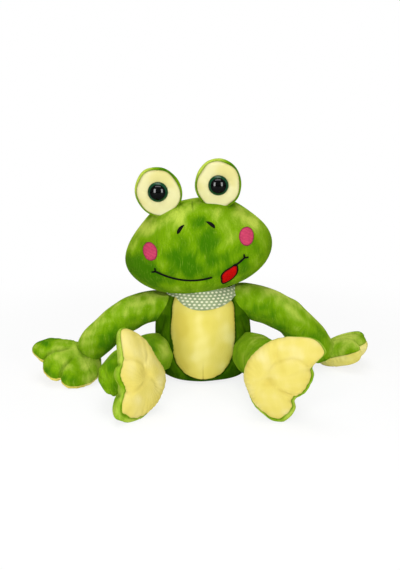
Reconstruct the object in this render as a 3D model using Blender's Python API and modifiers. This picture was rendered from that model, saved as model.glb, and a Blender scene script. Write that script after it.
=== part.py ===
"""Plush frog that sits with its limbs spread: covers, stuffing, eyes, embroidery and neckerchief.

Metres, +Z up, the frog faces -Y and its left is +X. The origin is on the floor under the torso.
"""
import math

import bmesh
import bpy
from mathutils import Euler, Matrix, Vector
from mathutils.bvhtree import BVHTree

MM = 0.001

# Cloth and clearances
WALL = 2.5 * MM
FIT = 0.3 * MM
JOINT_FIT = 0.5 * MM
# the second turned copy of a form is larger by this, so that mirrored edges don't meet
UNEVEN_FIT = 0.17 * MM
STUFFING_FIT = 1.0 * MM
INNER_share = 0.955
INNER_END_share = 0.35
# a limb's inner form keeps this much further in where the limb bends at its root
BEND_ROOM = 3.5 * MM
REST_DEPTH = 0.5 * MM
OVERRUN = 60 * MM

# Torso
TORSO_HEIGHT = 127 * MM
TORSO_HALF_WIDTH = 59 * MM
TORSO_HALF_DEPTH = 47 * MM
TORSO_RINGS_shares = (
    # height, half width, half depth, forward shift
    (0.00, 0.78, 0.86, 0.10),
    (0.045, 0.96, 1.04, 0.06),
    (0.24, 1.05, 1.07, 0.03),
    (0.50, 1.03, 1.01, 0.00),
    (0.70, 0.97, 0.92, -0.02),
    (0.79, 0.74, 0.76, -0.04),
    (0.98, 0.60, 0.62, -0.05),
)

# Belly panel, which ends this far under the torso's top
BELLY_HALF_WIDTH = 39.5 * MM
BELLY_BOTTOM = 6 * MM
BELLY_TOP_DROP = 5 * MM
BELLY_TOP = TORSO_HEIGHT - BELLY_TOP_DROP
BELLY_OUTLINE_shares = (
    # sideways, up from bottom to top
    (0.00, 0.00), (0.32, 0.02), (0.60, 0.07), (0.81, 0.155), (0.94, 0.27), (1.00, 0.42),
    (1.00, 0.58), (0.96, 0.75), (0.86, 0.88), (0.70, 1.00),
)

# Neck joint, under the torso's top, and the head hung from it
NECK_DROP = 23 * MM
NECK_HEIGHT = TORSO_HEIGHT - NECK_DROP
NECK_SIDE = 3.5 * MM
HEAD_TILT_DEG = 9.0
NECK_RANGE_DEG = (-4.0, 6.0)
NECK_HOLE_RADIUS = 20 * MM

HEAD_HALF_WIDTH = 89 * MM
HEAD_HALF_DEPTH = 56 * MM
HEAD_HEIGHT = 114 * MM
HEAD_CLEAR = 6 * MM
HEAD_RINGS_shares = (
    (0.00, 0.34, 0.40, 0.00),
    (0.05, 0.64, 0.74, 0.02),
    (0.19, 0.91, 0.97, 0.06),
    (0.38, 1.06, 1.06, 0.06),
    (0.58, 0.99, 1.03, 0.02),
    (0.76, 0.80, 0.90, -0.03),
    (0.90, 0.59, 0.70, -0.06),
    (0.985, 0.36, 0.42, -0.06),
)

# Eye pods, in the head's own frame, with their middles this far over its top
POD_SPREAD = 36 * MM
POD_RISE = {"left": 14 * MM, "right": 16 * MM}
POD_HEIGHT = {side: HEAD_CLEAR + HEAD_HEIGHT + rise for side, rise in POD_RISE.items()}
POD_FORWARD = 20 * MM
POD_HALF_WIDTH = 27.2 * MM
POD_HALF_HEIGHT = 30 * MM
POD_FRONT_BULGE = 5 * MM
POD_BACK_BULGE = 22 * MM
POD_LEAN_DEG = {"left": 10.0, "right": 16.0}
POD_SEAM_shares = ((0.45, 1.0), (0.88, 0.66), (1.05, -0.04), (0.90, -0.66), (0.42, -1.0))
POD_INNER_SEAM_shares = ((0.40, 0.42), (0.84, 0.16), (0.91, -0.10), (0.76, -0.58), (0.34, -0.80))

# Safety eyes
EYE_RADIUS = 12 * MM
EYE_HEIGHT = 7 * MM
EYE_RIM = 1.2 * MM
EYE_RISE = {"left": 0 * MM, "right": 1.5 * MM}
EYE_DOME_DEG = (24.0, 48.0, 70.0, 90.0)
SHANK_RADIUS = 2.5 * MM
SHANK_LENGTH = 13 * MM
WASHER_RADIUS = 8 * MM
WASHER_THICKNESS = 1.6 * MM
EYE_SIDES = 18

# Embroidery, in the head's own frame
STITCH_HEIGHT = 0.9 * MM
MOUTH_STROKE = 2.0 * MM
TONGUE_STROKE = 1.6 * MM
NOSTRIL_SHIFT = 2 * MM
NOSTRIL_SPREAD = 17.5 * MM
NOSTRIL_HEIGHT = 92 * MM
NOSTRIL_LENGTH = 13.5 * MM
NOSTRIL_WIDTH = 4.5 * MM
NOSTRIL_SLANT_DEG = 47.0
CHEEK_SHIFT = 1.8 * MM
CHEEK_SPREAD = 58 * MM
CHEEK_HEIGHT = 71 * MM
CHEEK_HALF_WIDTH = 9 * MM
CHEEK_HALF_HEIGHT = 10.5 * MM
MOUTH_HALF_WIDTH = 54 * MM
MOUTH_CORNER_HEIGHT = 47.5 * MM
MOUTH_SAG = 17 * MM
MOUTH_TICK = 6 * MM
TICK_LONG_share = 0.75
TICK_SHORT_share = 0.1
TONGUE_SPREAD = 33 * MM
TONGUE_HEIGHT = 29.5 * MM
TONGUE_HALF_WIDTH = 9.5 * MM
TONGUE_HALF_HEIGHT = 10 * MM
NOSTRIL_SIDES = 10
CHEEK_SIDES = 14
MOUTH_LINE_shares = (-1.0, -0.8, -0.6, -0.38, -0.15, 0.05, 0.23)
MOUTH_CORNER_shares = (0.81, 0.9, 1.0)
TONGUE_OUTLINE_shares = (
    (-0.95, 0.42), (0.28, 0.98), (0.86, 0.86), (1.0, 0.30), (0.62, -0.28), (-0.10, -0.80),
    (-0.66, -1.0), (-0.94, -0.92), (-0.90, -0.45), (-0.74, 0.0),
)

# Arms: the shoulder's place under the torso's top, and the wrist's place from the shoulder and the floor
SHOULDER_SPREAD = 50 * MM
SHOULDER_RANGE_DEG = {"left": (-20.0, 20.0), "right": (-20.0, 4.0)}
ARM_RADIUS = 22.5 * MM
ARM_RADII_shares = {
    "left": (0.96, 0.99, 1.0, 1.0, 0.88, 0.68),
    "right": (0.82, 0.84, 0.92, 0.97, 0.86, 0.66),
}
ARM_BOW = {"left": 18 * MM, "right": 14 * MM}
ARM_ROOT = 16 * MM
SHOULDER_DROP = {"left": 32 * MM, "right": 38 * MM}
SHOULDER_HEIGHT = {side: TORSO_HEIGHT - drop for side, drop in SHOULDER_DROP.items()}
ARM_REACH = {"left": 103 * MM, "right": 90 * MM}
WRIST_HEIGHT = {"left": 24 * MM, "right": 40 * MM}
ARM_DROP = {side: SHOULDER_HEIGHT[side] - height for side, height in WRIST_HEIGHT.items()}
ARM_FORWARD = {"left": -15 * MM, "right": 30 * MM}
ARM_STATIONS_shares = (0.0, 0.33, 0.68, 1.0, 1.08)

# Hands, in the plane of the palm, with the middle from the wrist pivot
HAND_REACH = {"left": 50 * MM, "right": 53 * MM}
PALM_BULGE = {"left": 18 * MM, "right": 14 * MM}
HAND_BACK_BULGE = 15 * MM
WRIST_RANGE_DEG = (-5.0, 15.0)
HAND_SIDE = {"left": 25 * MM, "right": 21 * MM}
HAND_FORWARD = {"left": -8 * MM, "right": 5 * MM}
HAND_DROP = {"left": 4 * MM, "right": 12 * MM}
# directions out of the back of the hand and along the middle finger
HAND_BACK_shares = {"left": (-0.36, 0.04, 0.93), "right": (0.12, -0.56, 0.82)}
FINGER_shares = {"left": (0.90, -0.22, 0.30), "right": (-0.88, -0.38, -0.22)}

# Legs
HIP_SPREAD = 54 * MM
HIP_FORWARD = 14 * MM
HIP_HEIGHT = 32 * MM
HIP_RANGE_DEG = (-8.0, 10.0)
LEG_RADIUS = 26.5 * MM
LEG_RADII_shares = (0.60, 0.96, 1.0, 0.97, 0.90, 0.75)
LEG_STATIONS_shares = (0.0, 0.35, 0.70, 1.0, 1.10)
LEG_ROOT_SIDE = 18 * MM
LEG_ROOT_BACK = 22 * MM
ANKLE_SIDE = {"left": 24 * MM, "right": 42 * MM}
ANKLE_FORWARD = {"left": 130 * MM, "right": 124 * MM}
ANKLE_RISE = {"left": 16 * MM, "right": 10 * MM}
KNEE_BOW = {"left": 8 * MM, "right": 6 * MM}

# Feet, in the plane of the sole
FOOT_REACH = {"left": 68 * MM, "right": 71 * MM}
SOLE_BULGE = 10 * MM
UPPER_BULGE = 19 * MM
ANKLE_RANGE_DEG = 12.0
FOOT_STEP = {"left": 21 * MM, "right": 27.5 * MM}
FOOT_YAW_DEG = {"left": -10.0, "right": 44.0}
FOOT_ROLL_DEG = {"left": -20.0, "right": 172.0}
# how far the sole leans back
FOOT_LEAN_DEG = {"left": 0.0, "right": 8.0}
FOOT_ACROSS = {"left": -2 * MM, "right": 12.5 * MM}

# Outlines of the three-toed hands and feet: angle from the middle toe, share of the reach
HAND_OUTLINE_shares = {
    "left": (
        (0, 0.74), (14, 0.76), (26, 0.59), (38, 0.90), (50, 0.82), (68, 0.69), (92, 0.56), (122, 0.55),
        (152, 0.64), (182, 0.77), (212, 0.66), (240, 0.60), (266, 0.59), (288, 0.67), (306, 0.79),
        (320, 0.87), (334, 0.55), (347, 0.74),
    ),
    "right": (
        (2, 0.78), (18, 0.71), (27, 0.81), (38, 1.06), (50, 1.09), (64, 0.92), (82, 0.78), (104, 0.61),
        (128, 0.57), (156, 0.66), (186, 0.74), (214, 0.74), (242, 0.83), (268, 0.78), (292, 0.79),
        (308, 0.75), (321, 0.57), (334, 0.73), (349, 0.75),
    ),
}
FOOT_OUTLINE_shares = {
    "left": (
        (15, 0.68), (29, 0.77), (41, 0.72), (44, 0.87), (47, 0.99), (49, 1.11), (58, 1.12), (69, 1.07),
        (82, 0.90), (103, 0.77), (129, 0.60), (163, 0.51), (194, 0.47), (224, 0.45), (259, 0.55),
        (286, 0.67), (304, 0.82), (319, 0.74), (337, 0.66), (341, 0.49), (359, 0.63),
    ),
    "right": (
        (4, 0.50), (18, 0.56), (33, 0.55), (45, 0.60), (53, 0.74), (59, 0.99), (66, 1.03), (80, 0.86),
        (98, 0.68), (130, 0.46), (160, 0.54), (186, 0.53), (210, 0.51), (238, 0.54), (266, 0.62),
        (290, 0.72), (306, 0.76), (319, 0.82), (336, 0.52), (349, 0.41),
    ),
}
# the same for their fillings, which keep clear of the toes' softened edges
HAND_INNER_shares = {
    "left": (
        (0, 0.56), (24, 0.48), (42, 0.64), (58, 0.56), (85, 0.42), (120, 0.39), (155, 0.46), (190, 0.53),
        (225, 0.45), (258, 0.43), (285, 0.48), (305, 0.58), (318, 0.57), (336, 0.46),
    ),
    "right": (
        (8, 0.57), (26, 0.61), (44, 0.88), (58, 0.78), (80, 0.59), (110, 0.44), (150, 0.45), (190, 0.55),
        (225, 0.58), (258, 0.61), (285, 0.60), (303, 0.56), (322, 0.46), (342, 0.57),
    ),
}
FOOT_INNER_shares = {
    "left": (
        (2, 0.40), (20, 0.46), (35, 0.55), (46, 0.56), (56, 0.91), (68, 0.86), (88, 0.70), (115, 0.54),
        (150, 0.40), (190, 0.35), (235, 0.35), (270, 0.42), (295, 0.57), (308, 0.59), (325, 0.46),
        (342, 0.39),
    ),
    "right": (
        (0, 0.33), (20, 0.42), (38, 0.44), (50, 0.50), (60, 0.69), (80, 0.67), (115, 0.39), (155, 0.38),
        (190, 0.39), (225, 0.39), (262, 0.45), (290, 0.56), (308, 0.62), (322, 0.52), (338, 0.34),
    ),
}
PAW_SEAM_shares = ((0.42, 1.0), (0.82, 0.66), (1.0, -0.05), (0.80, -0.80), (0.40, -1.0))
PAW_INNER_SEAM_shares = ((0.40, 0.70), (0.76, 0.40), (0.94, -0.05), (0.70, -0.58), (0.35, -0.78))
CUSHION_SIDES_DEG = tuple(range(0, 360, 36))

# Neckerchief, whose edges and knot lie this far under the torso's top
CLOTH = 1.4 * MM
CLOTH_GAP = 0.6 * MM
BANDANA_TOP_DROP = 15 * MM
BANDANA_SIDE_DROP = 24 * MM
BANDANA_TIP_DROP = 36 * MM
BANDANA_TOP = TORSO_HEIGHT - BANDANA_TOP_DROP
BANDANA_SIDE_EDGE = TORSO_HEIGHT - BANDANA_SIDE_DROP
BANDANA_TIP_EDGE = TORSO_HEIGHT - BANDANA_TIP_DROP
BANDANA_TIP_DEG = -94.0
BANDANA_FLAP_DEG = {"left": 69.0, "right": 50.0}
BANDANA_PLEAT = 1.3 * MM
BANDANA_PLEATS = 1.5
BANDANA_STEPS = 32
BANDANA_ROWS = 6
COLLAR_GAP = 3.7 * MM
COLLAR_RINGS_shares = (
    (0.78, 0.81, 0.82, -0.04), (0.87, 0.71, 0.72, -0.045), (0.98, 0.60, 0.62, -0.05),
)
KNOT_HALF_WIDTH = 9 * MM
KNOT_HALF_HEIGHT = 6 * MM
KNOT_HALF_DEPTH = 5 * MM
KNOT_DROP = 22 * MM
KNOT_HEIGHT = TORSO_HEIGHT - KNOT_DROP
KNOT_ROUND_share = 0.80
TAIL_LENGTH = 24 * MM
TAIL_WIDTH = 13 * MM
TAIL_SPREAD_DEG = 11.0
TAIL_TOP_share = 0.7
TAIL_FLARE_share = 0.6
TAIL_WIDTH_shares = (0.3, 0.65)
TAIL_ACROSS_shares = (-0.5, -0.17, 0.17, 0.5)

BODY_SIDES = 10
LIMB_SIDES = 8
INNER_SIDES = 8
SIDES = {"left": 1.0, "right": -1.0}

GREEN = (0.26, 0.42, 0.03, 1.0)
YELLOW = (0.83, 0.74, 0.16, 1.0)
PINK = (0.72, 0.10, 0.20, 1.0)
RED = (0.60, 0.01, 0.01, 1.0)
BLACK = (0.01, 0.01, 0.01, 1.0)
FILLING = (0.90, 0.90, 0.87, 1.0)
SAGE = (0.44, 0.50, 0.36, 1.0)
EYE_GREEN = (0.01, 0.05, 0.02, 1.0)
WASHER_WHITE = (0.85, 0.85, 0.85, 1.0)


def make_material(name, colour, roughness, metallic=0.0):
    """A plain material for one kind of surface."""
    material = bpy.data.materials.new(name)
    material.use_nodes = True
    shader = material.node_tree.nodes["Principled BSDF"]
    shader.inputs["Base Color"].default_value = colour
    shader.inputs["Roughness"].default_value = roughness
    shader.inputs["Metallic"].default_value = metallic
    material.diffuse_color = colour
    return material


def start_scene():
    """Empties the scene and makes the two collections and the materials."""
    for old in list(bpy.data.objects):
        bpy.data.objects.remove(old)
    part = bpy.data.collections.new("plush_frog")
    cutters = bpy.data.collections.new("cutters")
    bpy.context.scene.collection.children.link(part)
    bpy.context.scene.collection.children.link(cutters)
    materials = {
        "green": make_material("green_plush", GREEN, 0.95),
        "yellow": make_material("yellow_plush", YELLOW, 0.9),
        "pink": make_material("pink_thread", PINK, 0.6),
        "red": make_material("red_thread", RED, 0.6),
        "black": make_material("black_thread", BLACK, 0.6),
        "filling": make_material("filling", FILLING, 1.0),
        "sage": make_material("sage_cotton", SAGE, 0.9),
        "eye": make_material("eye_plastic", EYE_GREEN, 0.1),
        "washer": make_material("washer_plastic", WASHER_WHITE, 0.4),
    }
    return {"part": part, "cutters": cutters, "materials": materials}


def pivot(name, place, turn=(0.0, 0.0, 0.0)):
    """An empty on a joint's axis."""
    empty = bpy.data.objects.new(name, None)
    empty.location = place
    empty.rotation_euler = turn
    return empty


def add_mesh(scene, name, bm, parent=None, colour=None, cutter=False):
    """Links a mesh as a piece of the part, or as a cutter that isn't shown."""
    bmesh.ops.recalc_face_normals(bm, faces=bm.faces)
    if bm.calc_volume(signed=True) < 0.0:
        bmesh.ops.reverse_faces(bm, faces=bm.faces)
    mesh = bpy.data.meshes.new(name)
    bm.to_mesh(mesh)
    bm.free()
    item = bpy.data.objects.new(name, mesh)
    if cutter:
        scene["cutters"].objects.link(item)
        item.hide_render = True
        item.display_type = "WIRE"
    else:
        scene["part"].objects.link(item)
        mesh.materials.append(scene["materials"][colour])
        mesh.shade_smooth()
    item.parent = parent
    return item


def soften(item, levels=1):
    """Rounds a cage with one subdivision."""
    modifier = item.modifiers.new("soften", "SUBSURF")
    modifier.levels = levels
    modifier.render_levels = levels
    return item


def boolean(item, cutter, operation="DIFFERENCE"):
    modifier = item.modifiers.new(cutter.name, "BOOLEAN")
    modifier.operation = operation
    modifier.solver = "EXACT"
    modifier.object = cutter
    return modifier


def round_gain(sides):
    """How far a ring's corners stand out so that the softened ring keeps its radius."""
    return 1.0 / (2.0 / 3.0 + math.cos(2.0 * math.pi / sides) / 3.0)


def ring_cage(stations, sides, gain):
    """A closed cage through rings, each a centre, two half axes and two half sizes."""
    bm = bmesh.new()
    rings = []
    for centre, first, second, half_first, half_second in stations:
        ring = []
        for step in range(sides):
            angle = 2.0 * math.pi * (step + 0.5) / sides
            offset = first * (half_first * gain * math.cos(angle))
            offset += second * (half_second * gain * math.sin(angle))
            ring.append(bm.verts.new(centre + offset))
        rings.append(ring)
    close_rings(bm, rings)
    return bm


def close_rings(bm, rings):
    """Walls between the rings and a cap at both ends."""
    count = len(rings[0])
    for lower, upper in zip(rings, rings[1:]):
        for step in range(count):
            after = (step + 1) % count
            bm.faces.new((lower[step], lower[after], upper[after], upper[step]))
    bm.faces.new(list(reversed(rings[0])))
    bm.faces.new(rings[-1])


def body_stations(rings, height, half_width, half_depth, base, grow=0.0):
    """Level rings for the torso or head, swollen by grow all round."""
    share = INNER_share if grow < 0 else 1.0
    stations = []
    last = len(rings) - 1
    for index, (up, wide, deep, forward) in enumerate(rings):
        lift = grow * (1 if index == last else -1 if index == 0 else 0)
        if grow < 0 and index in (0, last):
            lift += (rings[abs(index - 1)][0] - up) * height * INNER_END_share
        centre = Vector((0.0, -half_depth * forward, base + height * up + lift))
        stations.append((
            centre, Vector((1, 0, 0)), Vector((0, 1, 0)),
            half_width * wide * share + grow, half_depth * deep * share + grow,
        ))
    return stations


def limb_stations(points, radii, grow=0.0):
    """Rings square to a path, swollen by grow all round."""
    share = INNER_share if grow < 0 else 1.0
    stations = []
    last = len(points) - 1
    for index, (point, radius) in enumerate(zip(points, radii)):
        before = points[max(index - 1, 0)]
        after = points[min(index + 1, last)]
        along = (after - before).normalized()
        across = along.cross(Vector((0, 0, 1))).normalized()
        up = across.cross(along)
        reach = grow * (1 if index == last else -1 if index == 0 else 0)
        if grow < 0 and index in (0, last):
            reach += (points[abs(index - 1)] - point).dot(along) * INNER_END_share
        half = radius * share + grow
        if grow < 0 and index == 1:
            half -= BEND_ROOM
        stations.append((point + along * reach, across, up, half, half))
    return stations


def cushion_cage(outline, seam, front, back, grow):
    """A stuffed shape on a closed outline of angle and radius, with a front and a back swell."""
    bm = bmesh.new()
    rings = []
    last = len(seam) - 1
    for index, (share, swell) in enumerate(seam):
        depth = (front if swell > 0 else back) * swell
        depth += grow * (1 if index == 0 else -1 if index == last else 0)
        ring = []
        for angle, radius in outline:
            reach = (radius + grow) * share
            turn = math.radians(angle)
            ring.append(bm.verts.new((reach * math.cos(turn), reach * math.sin(turn), depth)))
        rings.append(ring)
    close_rings(bm, rings)
    return bm


def box(scene, name, low, high, parent=None):
    """A box cutter between two corners."""
    bm = bmesh.new()
    bmesh.ops.create_cube(bm, size=1.0)
    for vert in bm.verts:
        share = [coordinate + 0.5 for coordinate in vert.co]
        vert.co = [a + (b - a) * s for a, b, s in zip(low, high, share)]
    return add_mesh(scene, name, bm, parent, cutter=True)


def prism(scene, name, outline, near, far, parent=None, colour=None):
    """An outline in X and Z pushed from near to far in Y; without a colour it is a cutter."""
    bm = bmesh.new()
    front = [bm.verts.new((x, near, z)) for x, z in outline]
    back = [bm.verts.new((x, far, z)) for x, z in outline]
    count = len(outline)
    for step in range(count):
        after = (step + 1) % count
        bm.faces.new((front[step], front[after], back[after], back[step]))
    bm.faces.new(list(reversed(front)))
    bm.faces.new(back)
    return add_mesh(scene, name, bm, parent, colour, cutter=colour is None)


def torso_cage(grow=0.0):
    stations = body_stations(
        TORSO_RINGS_shares, TORSO_HEIGHT, TORSO_HALF_WIDTH, TORSO_HALF_DEPTH, -REST_DEPTH, grow)
    return ring_cage(stations, *ring_sides(BODY_SIDES, grow))


def head_cage(grow=0.0):
    stations = body_stations(
        HEAD_RINGS_shares, HEAD_HEIGHT, HEAD_HALF_WIDTH, HEAD_HALF_DEPTH, HEAD_CLEAR, grow)
    return ring_cage(stations, *ring_sides(BODY_SIDES, grow))


def ring_sides(sides, grow):
    """Sides of a ring: an inner form is a plain facetted one, an outer form is softened."""
    return (INNER_SIDES, 1.0) if grow < 0 else (sides, round_gain(sides))


def add_form(scene, name, cage, grow, parent=None, colour=None):
    """An outer form softened, or an inner one as it is; without a colour it is a cutter."""
    item = add_mesh(scene, name, cage(grow), parent, colour, cutter=colour is None)
    return item if grow < 0 else soften(item)


def joined(cutters):
    """One cutter that fills the room of several."""
    for other in cutters[1:]:
        boolean(cutters[0], other, "UNION")
    return cutters[0]


def turned_copies(scene, name, cage, place, turns, first=0):
    """A neighbour at both ends of a joint's range, which the smaller piece clears."""
    copies = []
    for index, turn in enumerate(turns):
        holder = pivot(f"{name}_turn_{index}", place, turn)
        scene["cutters"].objects.link(holder)
        bm = cage(JOINT_FIT + (first + index) * UNEVEN_FIT)
        bmesh.ops.translate(bm, verts=bm.verts, vec=-Vector(place))
        copies.append(soften(add_mesh(scene, f"{name}_sweep_{index}", bm, holder, cutter=True)))
    return copies


def neck_turn(degrees):
    return Euler((0.0, math.radians(degrees - HEAD_TILT_DEG), 0.0))


def make_head_sweep(scene):
    """The head at both ends of its tilt, for what lies under it to clear."""
    copies = []
    for index, degrees in enumerate(NECK_RANGE_DEG):
        holder = pivot(f"head_turn_{index}", (NECK_SIDE, 0.0, NECK_HEIGHT), neck_turn(degrees))
        scene["cutters"].objects.link(holder)
        grow = JOINT_FIT + index * UNEVEN_FIT
        copies.append(add_form(scene, f"head_sweep_{index}", head_cage, grow, holder))
    return joined(copies)


def head_over(side):
    """The cage of the head as it leans most to one side."""
    lean = neck_turn(NECK_RANGE_DEG[1 if side == "left" else 0]).to_matrix().to_4x4()

    def cage(grow):
        bm = head_cage(grow)
        place = Matrix.Translation((NECK_SIDE, 0.0, NECK_HEIGHT))
        bmesh.ops.transform(bm, matrix=place @ lean, verts=bm.verts)
        return bm

    return cage


def belly_outline(grow):
    """The belly panel's outline in X and Z, a named gap wider for the hole that takes it."""
    span = BELLY_TOP - BELLY_BOTTOM
    half = [(side * (BELLY_HALF_WIDTH + grow), up) for side, up in BELLY_OUTLINE_shares]
    points = [(x, BELLY_BOTTOM - grow + up * (span + 2 * grow)) for x, up in half]
    return points + [(-x, z) for x, z in reversed(points[1:])]


def make_torso(scene, head_sweep, floor):
    """The torso's cover, belly panel and filling, open at the neck."""
    cavity = add_form(scene, "torso_cavity", torso_cage, -WALL)
    near = -TORSO_HALF_DEPTH - OVERRUN
    hole = prism(scene, "belly_hole", belly_outline(FIT), near, 0.0)
    patch = prism(scene, "belly_patch", belly_outline(0.0), near, 0.0)
    cover = add_form(scene, "torso_cover", torso_cage, 0.0, colour="green")
    panel = add_form(scene, "belly_panel", torso_cage, 0.0, colour="yellow")
    filling = add_form(scene, "torso_stuffing", torso_cage, -WALL - STUFFING_FIT, colour="filling")
    boolean(cover, floor)
    for item in (cover, panel, filling):
        boolean(item, head_sweep)
    for item in (cover, panel):
        boolean(item, cavity)
    boolean(panel, patch, "INTERSECT")
    boolean(cover, hole)


def make_head(scene, neck):
    """The head's cover, open at the neck, and its filling."""
    cavity = add_form(scene, "head_cavity", head_cage, -WALL, neck)
    bm = bmesh.new()
    bmesh.ops.create_cone(
        bm, cap_ends=True, segments=EYE_SIDES, radius1=NECK_HOLE_RADIUS, radius2=NECK_HOLE_RADIUS,
        depth=OVERRUN)
    bmesh.ops.translate(bm, verts=bm.verts, vec=(0.0, 0.0, HEAD_CLEAR + 2 * WALL - OVERRUN / 2))
    hole = add_mesh(scene, "neck_hole", bm, neck, cutter=True)
    cover = add_form(scene, "head_cover", head_cage, 0.0, neck, "green")
    boolean(cover, cavity)
    boolean(cover, hole)
    add_form(scene, "head_stuffing", head_cage, -WALL - STUFFING_FIT, neck, "filling")


def pod_outline(gain):
    """An ellipse as angle and radius, standing out so that the softened pod keeps its size."""
    points = []
    for angle in CUSHION_SIDES_DEG:
        turn = math.radians(angle)
        wide = math.cos(turn) * POD_HALF_WIDTH
        high = math.sin(turn) * POD_HALF_HEIGHT
        points.append((math.degrees(math.atan2(high, wide)), math.hypot(wide, high)))
    return [(angle, radius * gain) for angle, radius in points]


def pod_cage(grow):
    if grow < 0:
        return cushion_cage(
            pod_outline(1.0), POD_INNER_SEAM_shares, POD_FRONT_BULGE, POD_BACK_BULGE, grow + WALL)
    outer = pod_outline(round_gain(len(CUSHION_SIDES_DEG)))
    return cushion_cage(outer, POD_SEAM_shares, POD_FRONT_BULGE, POD_BACK_BULGE, grow)


def make_pod(scene, side, neck):
    """One eye pod: green back, yellow panel, filling, and the safety eye through the panel."""
    sign = SIDES[side]
    lean = Matrix.Rotation(math.radians(sign * POD_LEAN_DEG[side]), 4, "Y")
    upright = Matrix.Rotation(math.pi / 2, 4, "X")
    holder = pivot(
        f"pod_{side}", (sign * POD_SPREAD, -POD_FORWARD, POD_HEIGHT[side]), (lean @ upright).to_euler())
    holder.parent = neck
    scene["part"].objects.link(holder)

    reach = POD_HALF_HEIGHT + OVERRUN
    behind = box(scene, f"pod_behind_{side}", (-reach, -reach, -reach), (reach, reach, FIT / 2), holder)
    ahead = box(scene, f"pod_ahead_{side}", (-reach, -reach, -FIT / 2), (reach, reach, reach), holder)
    cavity = add_form(scene, f"pod_cavity_{side}", pod_cage, -WALL, holder)
    crown = add_form(scene, f"pod_seat_{side}", head_cage, FIT, neck)
    shank = eye_room(scene, f"shank_hole_{side}", SHANK_RADIUS + FIT, EYE_RISE[side], holder)
    room = eye_room(scene, f"washer_room_{side}", WASHER_RADIUS + FIT, EYE_RISE[side], holder)

    back = add_form(scene, f"eye_pod_cover_{side}", pod_cage, 0.0, holder, "green")
    panel = add_form(scene, f"eye_panel_{side}", pod_cage, 0.0, holder, "yellow")
    filling = add_form(
        scene, f"eye_pod_stuffing_{side}", pod_cage, -WALL - STUFFING_FIT, holder, "filling")
    boolean(back, ahead)
    boolean(panel, behind)
    for item in (back, panel):
        boolean(item, cavity)
    boolean(panel, shank)
    boolean(filling, room)
    for item in (back, panel, filling):
        boolean(item, crown)
    make_eye(scene, side, holder)


def eye_room(scene, name, radius, rise, holder):
    """A round cutter through the pod's panel, as deep as the shank reaches."""
    depth = POD_FRONT_BULGE + SHANK_LENGTH + 2 * FIT
    bm = bmesh.new()
    bmesh.ops.create_cone(
        bm, cap_ends=True, segments=EYE_SIDES, radius1=radius, radius2=radius, depth=depth)
    place = (0.0, rise, POD_FRONT_BULGE + FIT - depth / 2 + WALL)
    bmesh.ops.translate(bm, verts=bm.verts, vec=place)
    return add_mesh(scene, name, bm, holder, cutter=True)


def turned(scene, name, profile, holder, place, colour, closed=False):
    """A turned piece from a profile of radius and height, outer side from top to bottom."""
    mesh = bpy.data.meshes.new(name)
    points = [(radius, 0.0, height) for radius, height in profile]
    edges = [(index, index + 1) for index in range(len(points) - 1)]
    if closed:
        edges.append((len(points) - 1, 0))
    mesh.from_pydata(points, edges, [])
    item = bpy.data.objects.new(name, mesh)
    scene["part"].objects.link(item)
    mesh.materials.append(scene["materials"][colour])
    item.parent = holder
    item.location = place
    screw = item.modifiers.new("turn", "SCREW")
    screw.axis = "Z"
    screw.steps = EYE_SIDES
    screw.render_steps = EYE_SIDES
    screw.use_merge_vertices = True
    screw.merge_threshold = 0.00001
    screw.use_smooth_shade = True
    return item


def make_eye(scene, side, holder):
    """A safety eye's domed cap with its shank, and the lock washer behind the panel."""
    seat = (0.0, EYE_RISE[side], POD_FRONT_BULGE + FIT)
    rise = EYE_HEIGHT - EYE_RIM
    turns = [math.radians(degrees) for degrees in EYE_DOME_DEG]
    dome = [(0.0, EYE_HEIGHT)]
    dome += [(EYE_RADIUS * math.sin(turn), EYE_RIM + rise * math.cos(turn)) for turn in turns]
    tail = FIT - SHANK_LENGTH
    profile = dome + [(EYE_RADIUS, 0.0), (SHANK_RADIUS, 0.0), (SHANK_RADIUS, tail), (0.0, tail)]
    turned(scene, f"safety_eye_{side}", profile, holder, seat, "eye")
    top = POD_FRONT_BULGE * (POD_INNER_SEAM_shares[0][1] - 1.0) - 2 * FIT
    bottom = top - WASHER_THICKNESS
    bore = SHANK_RADIUS + FIT
    ring = [(bore, top), (WASHER_RADIUS, top), (WASHER_RADIUS, bottom), (bore, bottom)]
    turned(scene, f"eye_washer_{side}", ring, holder, seat, "washer", closed=True)


def stroke(points, width):
    """The outline of an even stroke along a path in X and Z."""
    left = []
    right = []
    last = len(points) - 1
    for index, point in enumerate(points):
        before = points[max(index - 1, 0)]
        after = points[min(index + 1, last)]
        along = Vector((after[0] - before[0], after[1] - before[1])).normalized()
        normal = Vector((-along.y, along.x)) * (width / 2)
        left.append((point[0] + normal.x, point[1] + normal.y))
        right.append((point[0] - normal.x, point[1] - normal.y))
    return left + list(reversed(right))


def ellipse(centre, half_width, half_height, slant, count):
    """An ellipse in X and Z, turned by slant."""
    points = []
    for step in range(count):
        turn = 2.0 * math.pi * step / count
        x = half_width * math.cos(turn)
        z = half_height * math.sin(turn)
        points.append((
            centre[0] + x * math.cos(slant) - z * math.sin(slant),
            centre[1] + x * math.sin(slant) + z * math.cos(slant),
        ))
    return points


def make_sewer(scene, neck):
    """A function that lays an outline on the head's face as a thin stitched pad."""
    near = -HEAD_HALF_DEPTH - OVERRUN
    under = add_form(scene, "stitch_under", head_cage, FIT, neck)
    over = add_form(scene, "stitch_over", head_cage, FIT + STITCH_HEIGHT, neck)

    def sewn(name, outline, colour, extra=None, hole=None):
        item = prism(scene, name, outline, near, 0.0, neck, colour)
        if extra:
            boolean(item, prism(scene, f"{name}_branch", extra, near - FIT, FIT, neck), "UNION")
        if hole:
            boolean(item, prism(scene, f"{name}_inside", hole, near - FIT, FIT, neck))
        boolean(item, over, "INTERSECT")
        boolean(item, under)
        return item

    return sewn


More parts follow.
